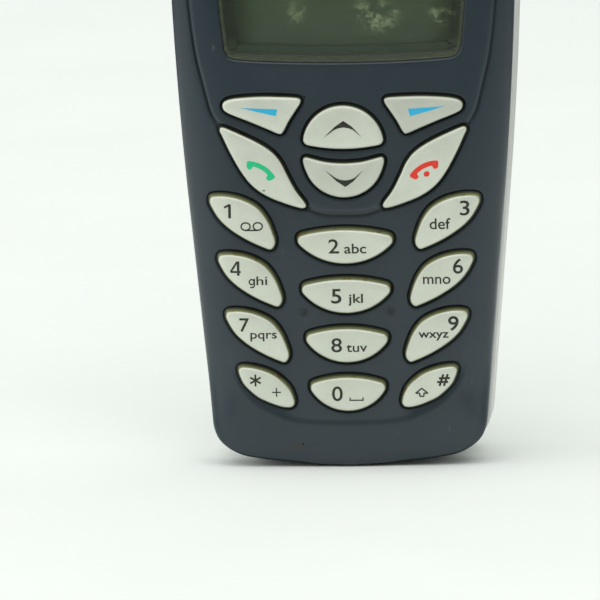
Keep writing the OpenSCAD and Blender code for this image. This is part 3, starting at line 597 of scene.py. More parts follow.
def bumped(material, socket, height, strength=1.0):
    """Surface grain of a height in millimetres, from a value."""
    node = add_node(material, "ShaderNodeBump")
    node.inputs["Distance"].default_value = height * MM
    node.inputs["Strength"].default_value = strength
    connect(material, socket, node.inputs["Height"])
    connect(material, node.outputs["Normal"], "Normal")


def moulded(name, colour, roughness, mottle=0.12, fleck=0.06, specular=0.5):
    """Moulded plastic: its colour is mottled in broad and fine blotches, its gloss rubbed unevenly and its
    skin finely grained."""
    material = finish(name, colour, roughness, specular=specular)
    dark = tuple(c * (1 - mottle) for c in colour)
    light = tuple(min(1, c * (1 + mottle)) for c in colour)
    broad = mottled(material, 9, 3, dark, light)
    fine = ramp(material, grain(material, 0.25, 1), (0.2, 1 - fleck), (0.8, 1.0))
    connect(material, blend(material, 1.0, broad, fine, "MULTIPLY"), "Base Color")
    rub = mottled(material, 5, 4, roughness * 0.88, min(1, roughness * 1.15))
    connect(material, rub, "Roughness")
    bumped(material, grain(material, 0.18, 2), 0.006)
    return material


def attribute(material, name):
    """A piece's own value at each point."""
    return add_node(material, "ShaderNodeAttribute", attribute_name=name).outputs["Fac"]


spot_depth = 10.0


def spot(material, middle, size):
    """A soft round patch about a place seen from the front, as wide and high as size, both in millimetres."""
    mapping = add_node(material, "ShaderNodeMapping", vector_type="TEXTURE")
    mapping.inputs["Location"].default_value = (middle[0] * MM, -front_d * MM, middle[1] * MM)
    mapping.inputs["Scale"].default_value = (size[0] * MM, spot_depth * MM, size[1] * MM)
    far = add_node(material, "ShaderNodeVectorMath", operation="LENGTH")
    connect(material, own_coords(material), mapping.inputs["Vector"])
    connect(material, mapping.outputs["Vector"], far.inputs[0])
    return ramp(material, far.outputs["Value"], (0.35, 1.0), (1.0, 0.0))


cover_colour = (0.011, 0.022, 0.033)
cover_tones = ((0.01, 0.0225, 0.0325), (0.0135, 0.026, 0.0355))
# Near-black for the painted shade in the cover's creases and recesses
crease_shade_colour = (0.004, 0.006, 0.0075)
worn_colour = (0.16, 0.17, 0.18)
stain_colour = (0.018, 0.02, 0.004)
stain_place = (-7.6, 3.1)
stain_size = (1.7, 0.9)
matt_roughness = (0.95, 0.95, 0.95)
cover_plastic = finish("satin_blue_grey", cover_colour, 0.34, specular=0.62)
shade = mottled(cover_plastic, 14, 3, *cover_tones)
nicks = ramp(cover_plastic, grain(cover_plastic, 1.6, 2, (1, 1, 0.35), 0.4), (0.735, 0.0), (0.77, 1.0))
nick_area = ramp(cover_plastic, grain(cover_plastic, 11, 1), (0.52, 0.0), (0.66, 0.28))
nick_share = blend(cover_plastic, 1.0, nicks, nick_area, "MULTIPLY")
shade = blend(cover_plastic, nick_share, shade, worn_colour)
stain = ramp(cover_plastic, grain(cover_plastic, 0.8, 3), (0.35, 0.1), (0.6, 0.7))
stain = blend(cover_plastic, 1.0, spot(cover_plastic, stain_place, stain_size), stain, "MULTIPLY")
shade = blend(cover_plastic, stain, shade, stain_colour)
# Painted shade: the colour goes towards near-black along the panel's groove, round the keys' holes, over the
# pips and on the window's ledge
shade = blend(cover_plastic, attribute(cover_plastic, "painted_shade"), shade, crease_shade_colour)
connect(cover_plastic, shade, "Base Color")
sheen = mottled(cover_plastic, 6, 4, 0.3, 0.4)
sheen = blend(cover_plastic, attribute(cover_plastic, "matt"), sheen, matt_roughness)
connect(cover_plastic, sheen, "Roughness")
bumped(cover_plastic, grain(cover_plastic, 0.22, 2), 0.005)

notch_half_w = 12.25
notch_y = 2.45
notch_top = 6.3
power_half = (4.75, 1.95)


def rim_gap(points, notch_depth):
    """Distance of a cover's rim from the parting plane: small, but wider along the sockets' notch in the
    foot, and along the round-ended hole of the power button in the top."""
    x = np.abs(points[:, 0])
    straight = power_half[0] - power_half[1]
    round_end = np.sqrt(np.maximum(0, power_half[1] ** 2 - np.maximum(0, x - straight) ** 2))
    power = np.where(points[:, 1] > spine_high, round_end, 0)
    notch = np.where((x < notch_half_w) & (points[:, 1] < notch_top), notch_depth, 0)
    return np.maximum(parting_gap / 2, np.maximum(power, notch))


rim_bevel = 0.12
side_rows = (0, 0.05, 0.3, 0.65, 0.95)
_, side_share = edge_sizes(outline[:, 1], front_edge, front_side)
rim_y = -rim_gap(outline, notch_y)
cover_line = border_ring(0)
side_low_y = rim_y - rim_bevel
side_top_y = -side_share * front_depth(cover_line[:, 1])
inner_rim = cover_line + (border_ring(math.pi / 2) - cover_line) * (front_wall / front_edge)
border = [at_depth(inner_rim, rim_y), at_depth(grown(cover_line, -rim_bevel), rim_y)]
border += [at_depth(cover_line, side_low_y + share * (side_top_y - side_low_y)) for share in side_rows]
for turn in np.linspace(0, border_turn, 9):
    ring = border_ring(turn)
    y = -(side_share + (1 - side_share) * math.sin(turn)) * front_depth(ring[:, 1])
    border.append(at_depth(ring, y + (relief(ring[:, 0], ring[:, 1]) if turn else 0)))
border[-1] = at_depth(face_ring, face_y(face_ring))
border.insert(0, at_depth(face_ring, face_y(face_ring) + front_wall))
face = face_y(flat)
cover_parts = [(np.vstack(border), strip_faces(len(border), len(outline))),
               (at_depth(flat, face), triangles),
               (at_depth(flat, face + front_wall), triangles)]
window_hole = len(key_outlines)
ledge_from = 59.6
ledge_run = 1.6


def window_foot(z):
    """Share of the window's lower edge: 1 along it, 0 up the sides."""
    return 1 - smooth((z - ledge_from) / ledge_run)


def ledge_width(z):
    """Width of the ledge that the window is glued to: narrow, but wider along its lower edge."""
    return ledge_side_w + (ledge_foot_w - ledge_side_w) * window_foot(z)


for index, ((wall, fillet), rim) in enumerate(zip(holes, hole_rims)):
    level = face_y(rim)
    rows = []
    for turn in np.linspace(0, math.pi / 2, 6):
        line = grown(wall, fillet * (1 - math.sin(turn)))
        rows.append(at_depth(line, level + fillet * (1 - math.cos(turn))))
    if index == window_hole:
        ledge = grown(wall, -ledge_width(wall[:, 1:]))
        rows += [at_depth(wall, window_back), at_depth(ledge, window_back), at_depth(ledge, ledge_back),
                 at_depth(rim, ledge_back)]
    else:
        rows.append(at_depth(wall, level + front_wall))
    rows.append(at_depth(rim, level + front_wall))
    cover_parts.append((np.vstack(rows), strip_faces(len(rows), len(wall))))
front_cover = piece("front_cover_moulding", cover_parts, cover_plastic, "phone")

# Shares kept at the cover's points for its material, found from the front
window_middle = np.array([0.0, 75.0])
window_half_h = 18.0
ledge_skin = 0.03
pip_shade = 0.5
# Matt places: the step's band is wider and more matt aside than in the middle
aside_from = 6.5
aside_run = 3.5
band_w = 0.6
band_gain = 0.4
band_top = 12.0
band_fade = 5.0
band_matt = 0.55
matt_gain = 0.4
ledge_matt = 0.8
pip_matt = 0.6
# Painted shade in creases and recesses: less of it up the groove's right-hand side
groove_shade = 0.8
right_less = 0.35
right_run = 12.0
shade_off = 0.04
shade_w = 0.16
low_shade_w = 0.2
halo_w = 0.5
halo_shade = 0.15
pip_dark_shade = 0.9
ledge_shade = 0.95


def points_of(mesh):
    """A mesh's points, one in each row."""
    points = np.empty(len(mesh.vertices) * 3)
    mesh.vertices.foreach_get("co", points)
    return points.reshape(-1, 3)


def set_share(made_piece, name, shares):
    """Keeps a value at each point of a piece, for its material."""
    kept = made_piece.data.attributes.new(name, "FLOAT", "POINT").data
    kept.foreach_set("value", np.asarray(shares, np.float32))


def ledge_share(seen):
    """1 on the ledge round the window's hole, else 0."""
    in_hole = depth_inside(seen, holes[window_hole][0]) > -ledge_skin
    return in_hole & (np.abs(seen[:, 1] - window_middle[1]) < window_half_h)


def pip_share(seen):
    """Nearness to the middle of a pip, as a bell curve."""
    return np.exp(-(pip_distance(seen) / pip_shade) ** 2)


def matt_places(seen):
    """How matt the skin is: more along the step down to the chin, on the window's ledge and on the pips."""
    aside = smooth((np.abs(seen[:, 0]) - aside_from) / aside_run)
    plateau = depth_inside(seen, plateau_line)
    band = np.exp(-(plateau / (band_w + band_gain * aside * (plateau > 0))) ** 4)
    band = band * (1 - smooth((seen[:, 1] - band_top) / band_fade))
    return np.max([(band_matt + matt_gain * aside) * band, ledge_matt * ledge_share(seen),
                   pip_matt * pip_share(seen)], axis=0)


def painted_shade_share(places):
    """How much painted shade a place gets, standing for the shade of a recess: along the panel's groove,
    round the keys' holes and the pips, and on the window's ledge."""
    seen = places[:, [0, 2]]
    key_walls = np.vstack([wall[::2] for wall, _ in holes[:window_hole]])
    halo = np.exp(-(np.abs(depth_inside(seen, key_walls)) / halo_w) ** 2) * (places[:, 1] < ledge_back)
    soft = low_edge(seen[:, 1])
    strength = groove_shade - right_less * smooth(seen[:, 0] / right_run) * (1 - soft)
    away = (depth_inside(seen, panel_line) + shade_off) / (shade_w + low_shade_w * soft)
    return np.max([strength * np.exp(-away ** 2), halo_shade * halo, pip_dark_shade * pip_share(seen),
                   ledge_shade * ledge_share(seen)], axis=0)


cover_places = points_of(front_cover.data) / MM
set_share(front_cover, "painted_shade", painted_shade_share(cover_places))
set_share(front_cover, "matt", matt_places(cover_places[:, [0, 2]]))
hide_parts("front_cover")

# Display window
# The window is a thin clear plastic pane, rounded at its border and glued to the ledge in the front cover.
# Its glue line shows through as a pale olive rim, to which painted light of the ledge behind it is added, and
# use has left whitish scuffs on it.

window_sink = 0.12
window_edge = 0.25
pane_lift = 0.02
pane_skin = 0.1
flank_rows = (1.0, 0.75, 0.5, 0.3, 0.24, 0.21, 0.15, 0.08)
skirt_rate = 4.7
foot_below = 0.22
# How much of the flank's colour reaches up a key's rounded top edge: painted shade that dims its highlight
edge_shade = 0.05
edge_fade = 1.25


def pillow(line, middle, top, back, edge, skirt=0.0, foot=0.0, edge_rows=7, top_rows=9, top_ease=1.0):
    """A closed cap over an outline: flanks from a flat back, spread by skirt under the edge and by foot lower
    down, a rounded edge, and a top that follows a height function in towards its middle, with rows closer to
    the edge as top_ease grows. Gives points, faces and, for each point, its share of the way down the flank.
    Heights count towards the front, and edge, skirt and foot are one size or one for each point."""
    edge, skirt = (np.broadcast_to(size, len(line)) for size in (edge, skirt))
    rows, shares = [], []
    for share in flank_rows:
        height = back + (top(line) - edge - back) * (1 - share)
        spread = np.maximum(skirt * min(1, share * skirt_rate), foot * (share > foot_below))
        rows.append(np.column_stack([grown(line, spread[:, None]), height]))
        shares.append(share)
    for turn in np.linspace(0, math.pi / 2, edge_rows):
        ring = grown(line, -edge[:, None] * (1 - math.cos(turn)))
        flank_top = top(line) - edge
        rows.append(np.column_stack([ring, flank_top + (top(ring) - flank_top) * math.sin(turn)]))
        # Painted shade: the flank's colour creeps up the rounded edge and dims its highlight
        shares.append(edge_shade * max(0, 1 - turn / edge_fade))
    rim = rows[-1][:, :2]
    for share in np.linspace(0, 1, top_rows + 1)[1:-1] ** top_ease:
        ring = middle + (rim - middle) * (1 - share)
        rows.append(np.column_stack([ring, top(ring)]))
        shares.append(0)
    count = len(line)
    points = np.vstack(rows + [[[*middle, top(np.array([middle]))[0]]], [[*middle, back]]])
    faces = strip_faces(len(rows), count)
    last, pole = (len(rows) - 1) * count, len(rows) * count
    after = ((np.arange(count) + 1) % count).tolist()
    faces += [(last + i, last + j, pole) for i, j in enumerate(after)]
    faces += [(j, i, pole + 1) for i, j in enumerate(after)]
    return points, faces, np.concatenate([np.repeat(shares, count), [0, 1]])


def facing_front(points):
    """Points of (across, up, height towards the front) in the phone's frame."""
    return points[:, [0, 2, 1]] * [1, -1, 1]


clear_plastic = finish("scuffed_clear_plastic", (0.38, 0.46, 0.24), 0.2)
scuff_places = (((-6.4, 65.6), (1.6, 2.6)), ((4.6, 65.2), (4.6, 2.9)), ((14.0, 65.0), (2.4, 1.6)),
                ((-1.5, 84), (6, 3)))
smear = grain(clear_plastic, 2.0, 6, (1, 1, 1.2), 0.66)
scuff_area = spot(clear_plastic, *scuff_places[0])
for middle, size in scuff_places[1:]:
    scuff_area = blend(clear_plastic, 1.0, spot(clear_plastic, middle, size), scuff_area, "LIGHTEN")
scuff = ramp(clear_plastic, smear, (0.49, 0.0), (0.64, 0.32))
scuff = blend(clear_plastic, 1.0, scuff, scuff_area, "MULTIPLY")
# The pale rim: the glue line together with painted light of the ledge behind it, lit from above
glue_and_highlight = ramp(clear_plastic, attribute(clear_plastic, "rim"), (0.0, 0.015), (0.25, 0.03),
            (0.45, 0.065), (0.6, 0.07), (0.85, 0.09), (1.0, 0.125))
connect(clear_plastic, blend(clear_plastic, 1.0, glue_and_highlight, scuff, "ADD"), "Alpha")
connect(clear_plastic, ramp(clear_plastic, smear, (0.4, 0.1), (0.75, 0.35)), "Roughness")


def window_height(points):
    """Height of the window's front, which follows the cover's plain face a little under it."""
    return -front_y(points[:, 0], points[:, 1]) - window_sink + panel_rise


points, faces, _ = pillow(window_line, window_middle, window_height, pane_lift - window_back, window_edge,
                          top_rows=16, top_ease=1.8)
window = piece("display_window_pane", [(facing_front(points), faces)], clear_plastic, "phone",
               weld=0)


def glue_and_highlight_share(places):
    """Nearness to the border on the pane's front, where the glue line and the painted light of the ledge
    show, and none on its flat back.
    """
    inset = depth_inside(places[:, [0, 2]], window_line)
    near = 1 - np.clip(inset / (2 * ledge_width(places[:, 2])), 0, 1)
    return near * (places[:, 1] < window_back - pane_skin)


set_share(window, "rim", glue_and_highlight_share(points_of(window.data) / MM))
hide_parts("display_window")

# Window gasket
# A die-cut ring of black foam keeps dust out between the ledge and the display glass. Its inner edge shows
# as a dark band inside the window.

gasket_low, gasket_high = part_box("window_gasket")
gasket_over = 0.1
gasket_side_w = 1.75
gasket_foot_more = 0.1
gasket_w = gasket_side_w + gasket_foot_more * window_foot(window_line[:, 1:])
gasket_lines = [grown(window_line, gasket_over), grown(window_line, -gasket_w)]
gasket_y = (gasket_low.y / MM, gasket_high.y / MM)
gasket_corners = ((0, 0), (1, 0), (1, 1), (0, 1), (0, 0))
gasket_rows = [at_depth(gasket_lines[side], gasket_y[back]) for side, back in gasket_corners]
painted_light_heights = (62.5, 60.5)


def own_axis(material, axis):
    """A place's coordinate along one axis of its piece."""
    apart = add_node(material, "ShaderNodeSeparateXYZ")
    connect(material, own_coords(material), apart.inputs[0])
    return apart.outputs[axis]


def rise(material, socket, low, high, shape="SMOOTHSTEP"):
    """Share that goes from 0 to 1 as a value goes from low to high."""
    node = add_node(material, "ShaderNodeMapRange", interpolation_type=shape)
    node.inputs["From Min"].default_value = low
    node.inputs["From Max"].default_value = high
    connect(material, socket, node.inputs[0])
    return node.outputs[0]


foam = finish("black_foam", (0.012, 0.016, 0.011), 0.9)
# Painted light: the foam is lighter along the window's lower edge, where light from above falls on it
painted_light_foot = rise(foam, own_axis(foam, "Z"), painted_light_heights[0] * MM, painted_light_heights[1] * MM)
foam_tone = blend(foam, painted_light_foot, (0.009, 0.0145, 0.0095), (0.029, 0.043, 0.03))
foam_grain = mottled(foam, 0.3, 3, 0.85, 1.0)
connect(foam, blend(foam, 1.0, foam_tone, foam_grain, "MULTIPLY"), "Base Color")
bumped(foam, grain(foam, 0.2, 2), 0.03)
gasket_part = (np.vstack(gasket_rows), strip_faces(len(gasket_rows), len(window_line)))
gasket = piece("window_gasket_foam", [gasket_part], foam, "phone", smooth_shaded=False)
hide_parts("window_gasket")

# Display
# The display is a reflective liquid crystal panel: two sheets of glass with an olive-grey rear polariser,
# a darker border outside the picture, set in a white light guide on the board.

panel_low, panel_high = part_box("display_panel")
dark_border = (11.6, 15.6)
panel_glass = finish("olive_display_glass", (0.03, 0.04, 0.022), 0.35, specular=0.3)
up_share = rise(panel_glass, own_axis(panel_glass, "Z"), panel_low.z, panel_high.z, "LINEAR")
# Painted shade: the panel is a little darker at its very lower edge, under the window's ledge, and a little
# lighter just above
tone_and_shade = ramp(panel_glass, up_share, (0.0, (0.036, 0.052, 0.034)), (0.1, (0.042, 0.062, 0.041)),
            (0.25, (0.038, 0.06, 0.034)), (1.0, (0.038, 0.062, 0.034)))
cloud = mottled(panel_glass, 7, 2, 0.9, 1.0)
tone_and_shade = blend(panel_glass, 1.0, tone_and_shade, cloud, "MULTIPLY")
aside = add_node(panel_glass, "ShaderNodeMath", operation="ABSOLUTE")
connect(panel_glass, own_axis(panel_glass, "X"), aside.inputs[0])
in_border = rise(panel_glass, aside.outputs[0], dark_border[0] * MM, dark_border[1] * MM)
connect(panel_glass, blend(panel_glass, in_border, tone_and_shade, (0.018, 0.027, 0.016)), "Base Color")
connect(panel_glass, mottled(panel_glass, 2, 2, 0.3, 0.42), "Roughness")


def dress(material, *names):
    """Gives CAD nodes, whose shapes stay, one finish."""
    for name in names:
        nodes[name].data.materials.clear()
        nodes[name].data.materials.append(material)


dress(panel_glass, "display_panel")
guide_plastic = moulded("milky_light_guide", (0.72, 0.73, 0.68), 0.4)
dress(guide_plastic, "display_frame", "backlight_leds")

# Earpiece
# The sound capsule sits behind five slots over the display, in a tin-plated can. A black woven mesh in front
# of it keeps dust out.

weave_scale = 900.0
mesh_cloth = finish("black_dust_mesh", (0.015, 0.015, 0.016), 0.7)
weave = add_node(mesh_cloth, "ShaderNodeTexWave", wave_type="BANDS", bands_direction="X")
weave.inputs["Scale"].default_value = weave_scale
connect(mesh_cloth, own_coords(mesh_cloth), weave.inputs["Vector"])
threads = ramp(mesh_cloth, weave.outputs[1], (0.2, (0.008, 0.008, 0.009)), (0.8, (0.03, 0.03, 0.032)))
connect(mesh_cloth, threads, "Base Color")
bumped(mesh_cloth, weave.outputs[1], 0.05)
dress(mesh_cloth, "earpiece_mesh")


def drawn_metal(name, colour, roughness, stretch=(1, 1, 8)):
    """Plated sheet metal: faint streaks along its rolling direction, in colour, gloss and height."""
    material = finish(name, colour, roughness, metallic=1.0)
    streak = grain(material, 0.6, 3, stretch)
    dark = tuple(c * 0.85 for c in colour)
    connect(material, ramp(material, streak, (0.3, dark), (0.7, colour)), "Base Color")
    connect(material, ramp(material, streak, (0.3, roughness * 0.8), (0.7, roughness * 1.3)), "Roughness")
    bumped(material, streak, 0.004)
    return material


tin_plate = drawn_metal("tin_plated_steel", (0.62, 0.62, 0.6), 0.32)
dress(tin_plate, "earpiece", "microphone", "vibration_motor", "card_holder", "shield_cans", "board_screws")

# Keys
# The caps are moulded in clear plastic, painted satin silver on their tops and printed. Their flanks stay
# bare, so they look olive brown with years of dirt; their darkening towards the cover is painted shade of the
# gap. Each rides in its own hole.

key_rise = 1.2
key_crown = 0.12
key_fall = 0.13
key_shoulder = 1.1
key_edge = 0.3
key_skirt = 0.05
number_skirt = 0.33
upper_skirt = 0.06
foot_gap = 0.04
# Painted shade: the right selection key and the lower scroll key are made a little darker
key_shade_factors = {"key_soft_right": 0.87, "key_scroll_down": 0.9}
upper_flank = (2.4, 0.07)
key_middles = {
    "key_soft_left": (-11, 52), "key_soft_right": (11, 52), "key_scroll_up": (0, 49.4),
    "key_scroll_down": (0, 42.2), "key_call": (-11.6, 43.6), "key_end": (11.6, 43.6),
    "key_1": (-14.5, 36), "key_2": (0, 32.4), "key_3": (14.5, 36), "key_4": (-13.5, 27.6),
    "key_5": (0, 25.3), "key_6": (13.5, 27.6), "key_7": (-12.7, 19.6), "key_8": (0, 18.2),
    "key_9": (12.7, 19.6), "key_star": (-11.6, 12.1), "key_0": (0, 11.1), "key_hash": (11.6, 12.1)}
chip_place = (-11.42, 40.6)
chip_size = (0.3, 0.2)
chip_colour = (0.16, 0.17, 0.14)
silver_paint = finish("silver_key_paint", (0.62, 0.65, 0.57), 0.45, metallic=0.34)
flakes = ramp(silver_paint, grain(silver_paint, 0.12, 1), (0.25, 0.9), (0.75, 1.0))
tint = mottled(silver_paint, 5, 3, (0.615, 0.645, 0.555), (0.675, 0.705, 0.615))
paint = blend(silver_paint, 1.0, tint, flakes, "MULTIPLY")
# A few keys' paint is darkened by their own factor, as painted shade
paint = blend(silver_paint, 1.0, paint, attribute(silver_paint, "tone_and_shade"), "MULTIPLY")
paint = blend(silver_paint, spot(silver_paint, chip_place, chip_size), paint, chip_colour)
flank_share = attribute(silver_paint, "flank")
# The bare flank's olive darkens to near-black towards the cover: painted shade of the gap round the key
flank = ramp(silver_paint, flank_share, (0.0, (0.4, 0.42, 0.29)), (0.05, (0.24, 0.258, 0.13)),
             (0.1, (0.105, 0.114, 0.043)), (0.15, (0.055, 0.058, 0.026)), (0.2, (0.03, 0.032, 0.018)),
             (0.26, (0.022, 0.025, 0.018)))
dirt = ramp(silver_paint, grain(silver_paint, 1.5, 4), (0.33, (0.75, 0.52, 0.22)), (0.43, (1.0, 1.0, 1.0)))
flank = blend(silver_paint, 1.0, flank, dirt, "MULTIPLY")
on_flank = ramp(silver_paint, flank_share, (0.0, 0.0), (0.03, 1.0))
connect(silver_paint, blend(silver_paint, on_flank, paint, flank), "Base Color")
connect(silver_paint, mottled(silver_paint, 2.5, 3, 0.4, 0.52), "Roughness")
bumped(silver_paint, grain(silver_paint, 0.2, 2), 0.003)


def key_height(name):
    """Height function of a key's top: the cover's plain face raised by key_rise and a low dome, less the fall
    of a rounded shoulder, which grows with the square of the nearness to the key's outline."""
    line = key_outlines[name]
    low, high = line.min(0), line.max(0)
    centre, half = (low + high) / 2, (high - low) / 2

    def height(points):
        """Height of the top at places seen from the front."""
        dome = 1 - (((points - centre) / half) ** 2).sum(1)
        near = 1 - np.clip(depth_inside(points, line) / key_shoulder, 0, 1)
        return -front_y(points[:, 0], points[:, 1]) + key_rise + key_crown * dome - key_fall * near ** 2
    return height


bend_room = 0.7
least_bend = 1e-3
neighbours = range(-4, 5)


def edge_room(line, edge):
    """Radius of a rounded edge at each point of a line: as wished, but less than the line's own curve there,
    and evened out over the neighbouring points."""
    along = np.roll(line, -1, 0) - line
    before = np.roll(along, 1, 0)
    turn = np.arctan2(before[:, 0] * along[:, 1] - before[:, 1] * along[:, 0], (before * along).sum(1))
    bend = np.maximum(turn / np.linalg.norm(along, axis=1), least_bend)
    room = np.minimum(edge, bend_room / bend)
    least = np.min([np.roll(room, k) for k in neighbours], axis=0)
    return np.mean([np.roll(least, k) for k in neighbours], axis=0)


key_tops = {name: key_height(name) for name in key_outlines}
for name, line in key_outlines.items():
    middle = np.array(key_middles[name], float)
    back = -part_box(name)[1].y / MM
    is_number = middle[1] < number_top
    spread = key_skirt + (number_skirt if is_number else upper_skirt) * faces_up(line)
    points, faces, shares = pillow(line, middle, key_tops[name], back, edge_room(line, key_edge), spread,
                                   gap_round(line) - foot_gap, top_rows=14, top_ease=1.3)
    cap = piece(name + "_cap", [(facing_front(points), faces)], silver_paint, name, weld=0)
    set_share(cap, "flank", shares if is_number else np.clip(upper_flank[0] * shares - upper_flank[1], 0, 1))
    set_share(cap, "tone_and_shade", np.full(len(points), key_shade_factors.get(name, 1.0)))
    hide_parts(name)

# Key printing
# Digits, letters and signs are printed on the silver paint: dark olive ink on the number and scroll keys,
# blue bars on the two selection keys, and a green and a red handset on call and end.

ink_lift = 0.02
ink_t = 0.05
ink_layer = 0.002
ink_span = 0.3
ink_halvings = 5


def printing_ink(name, colour):
    """Printed ink: a little thinner in places, with the sheen of the paint."""
    material = finish(name, colour, 0.45, specular=0.25)
    pale = tuple(0.8 * c + 0.05 for c in colour)
    connect(material, ramp(material, grain(material, 0.5, 4), (0.45, colour), (0.85, pale)), "Base Color")
    connect(material, mottled(material, 0.8, 2, 0.4, 0.55), "Roughness")
    return material


dark_ink = printing_ink("dark_olive_ink", (0.022, 0.026, 0.016))
blue_ink = printing_ink("blue_ink", (0.025, 0.38, 0.6))
green_ink = printing_ink("green_ink", (0.012, 0.47, 0.2))
red_ink = printing_ink("red_ink", (0.66, 0.035, 0.018))


def glyphs(text, weight):
    """Filled letters of the built-in typeface, made bolder by a weight, in a box from 0 to 1 each way."""
    curve = bpy.data.curves.new("lettering", "FONT")
    curve.body = text
    curve.resolution_u = 6
    curve.offset = weight
    holder = put("lettering", curve)
    shape = bpy.data.meshes.new_from_object(holder.evaluated_get(bpy.context.evaluated_depsgraph_get()))
    points = points_of(shape)[:, :2]
    faces = [tuple(p.vertices) for p in shape.polygons]
    bpy.data.objects.remove(holder)
    bpy.data.curves.remove(curve)
    bpy.data.meshes.remove(shape)
    low, high = points.min(0), points.max(0)
    return (points - low) / (high - low), faces


def set_in(shape, middle, size):
    """A shape from a box of 0 to 1, set round its middle at its real size."""
    points, faces = shape
    return (points - 0.5) * size + middle, faces


def ribbon(path, left, right, closed=False):
    """A flat band along a path, with a width to its left and one to its right, each plain or per point."""
    path = np.asarray(path, float)
    along = np.gradient(path, axis=0)
    if closed:
        along = np.roll(path, -1, 0) - np.roll(path, 1, 0)
    out = np.stack([-along[:, 1], along[:, 0]], 1)
    out /= np.linalg.norm(out, axis=1, keepdims=True)
    left, right = (np.broadcast_to(w, len(path))[:, None] for w in (left, right))
    points = np.vstack([path + out * left, path - out * right])
    return points, strip_faces(2, len(path), closed)


def stroke(start, end, width):
    """A straight bar between two places."""
    return ribbon([start, end], width / 2, width / 2)


def print_on(name, shapes, ink):
    """Prints flat shapes on a key's top: they are divided finely, each point is laid at the height of the
    top, and the ink gets a thin body."""
    count = np.cumsum([0] + [len(p) for p, _ in shapes])
    layer = np.repeat(np.arange(len(shapes)), np.diff(count)) * ink_layer
    points = np.column_stack([np.vstack([p for p, _ in shapes]), layer])[:, [0, 2, 1]]
    faces = [tuple(i + shift for i in f) for (_, fs), shift in zip(shapes, count) for f in fs]
    mesh = bpy.data.meshes.new(name + "_print")
    mesh.from_pydata(points.tolist(), [], faces)
    sheet = bmesh.new()
    sheet.from_mesh(mesh)
    bmesh.ops.triangulate(sheet, faces=sheet.faces)
    for _ in range(ink_halvings):
        long_edges = [e for e in sheet.edges if e.calc_length() > ink_span]
        bmesh.ops.subdivide_edges(sheet, edges=long_edges, cuts=1)
        bmesh.ops.triangulate(sheet, faces=sheet.faces)
    for f in sheet.faces:
        f.normal_update()
    bmesh.ops.reverse_faces(sheet, faces=[f for f in sheet.faces if f.normal.y > 0])
    sheet.to_mesh(mesh)
    sheet.free()
    places = points_of(mesh)
    height = key_tops[name](places[:, [0, 2]]) + ink_lift + places[:, 1]
    points = facing_front(np.column_stack([places[:, [0, 2]], height])) * MM
    mesh.vertices.foreach_set("co", points.ravel())
    mesh.materials.append(ink)
    made_print = put(name + "_print", mesh)
    body = made_print.modifiers.new("ink_body", "SOLIDIFY")
    body.thickness = ink_t * MM
    body.offset = -1
    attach(made_print, name)
    return made_print


# Each number key: its digit, its letters, and the middle and size of both
lettering = {
    "key_1": [],
    "key_2": [("2", (-1.68, 32.47), (1.5, 2.06)), ("abc", (1.36, 32.12), (3.12, 1.44))],
    "key_3": [("3", (16.97, 37.76), (1.36, 2.14)), ("def", (13.44, 35.58), (2.96, 1.6))],
    "key_4": [("hi", (-11.97, 27.62), (1.54, 1.25))],
    "key_5": [("5", (-1.45, 25.25), (1.45, 2.12)), ("jkl", (1.27, 24.7), (2.1, 1.72))],
    "key_6": [("6", (15.87, 29.4), (1.42, 2.18)), ("mno", (12.83, 27.4), (3.9, 1.05))],
    "key_7": [("7", (-14.6, 21.2), (1.4, 1.96)), ("pqrs", (-11.89, 19.45), (3.76, 1.24))],
    "key_8": [("8", (-1.55, 18.15), (1.52, 2.06)), ("tuv", (1.31, 17.7), (2.95, 1.1))],
    "key_9": [("9", (15.08, 21.12), (1.5, 2.12)), ("wxyz", (12.25, 19.3), (4.3, 1.2))],
    "key_star": [],
    "key_0": [("0", (-1.58, 11.1), (1.52, 2.14))],
    "key_hash": []}
letter_weight = 0.009
bolder = {"key_5": 0.014, "key_9": 0.015}
signs = {name: [set_in(glyphs(text, bolder.get(name, letter_weight)), middle, size)
                for text, middle, size in rows] for name, rows in lettering.items()}
signs["key_1"] += [stroke((-16.34, 36.66), (-16.34, 38.68), 0.38),
                   stroke((-16.39, 38.57), (-17.09, 38.19), 0.3)]
signs["key_4"] += [stroke((-15.29, 28.38), (-15.29, 30.41), 0.36),
                   stroke((-16.44, 28.9), (-14.94, 28.9), 0.27),
                   stroke((-15.42, 30.36), (-16.36, 28.94), 0.27)]

loop_turn = np.linspace(0, 2 * math.pi, 33)[:-1]


def loop(x, z, half_w, half_h, width):
    """An oval ring drawn with one stroke."""
    oval = np.stack([x + half_w * np.cos(loop_turn), z + half_h * np.sin(loop_turn)], 1)
    return ribbon(oval, width / 2, width / 2, True)


# The letter g: a bowl, and a stem that ends in a hook
signs["key_4"].append(loop(-13.41, 27.44, 0.34, 0.36, 0.19))
g_stem = np.vstack([[(-13.03, 27.9), (-13.03, 27.4)], arc(-13.38, 27.0, 0.35, 0, -0.72 * math.pi, 12)])
signs["key_4"].append(ribbon(g_stem, 0.095, 0.095))
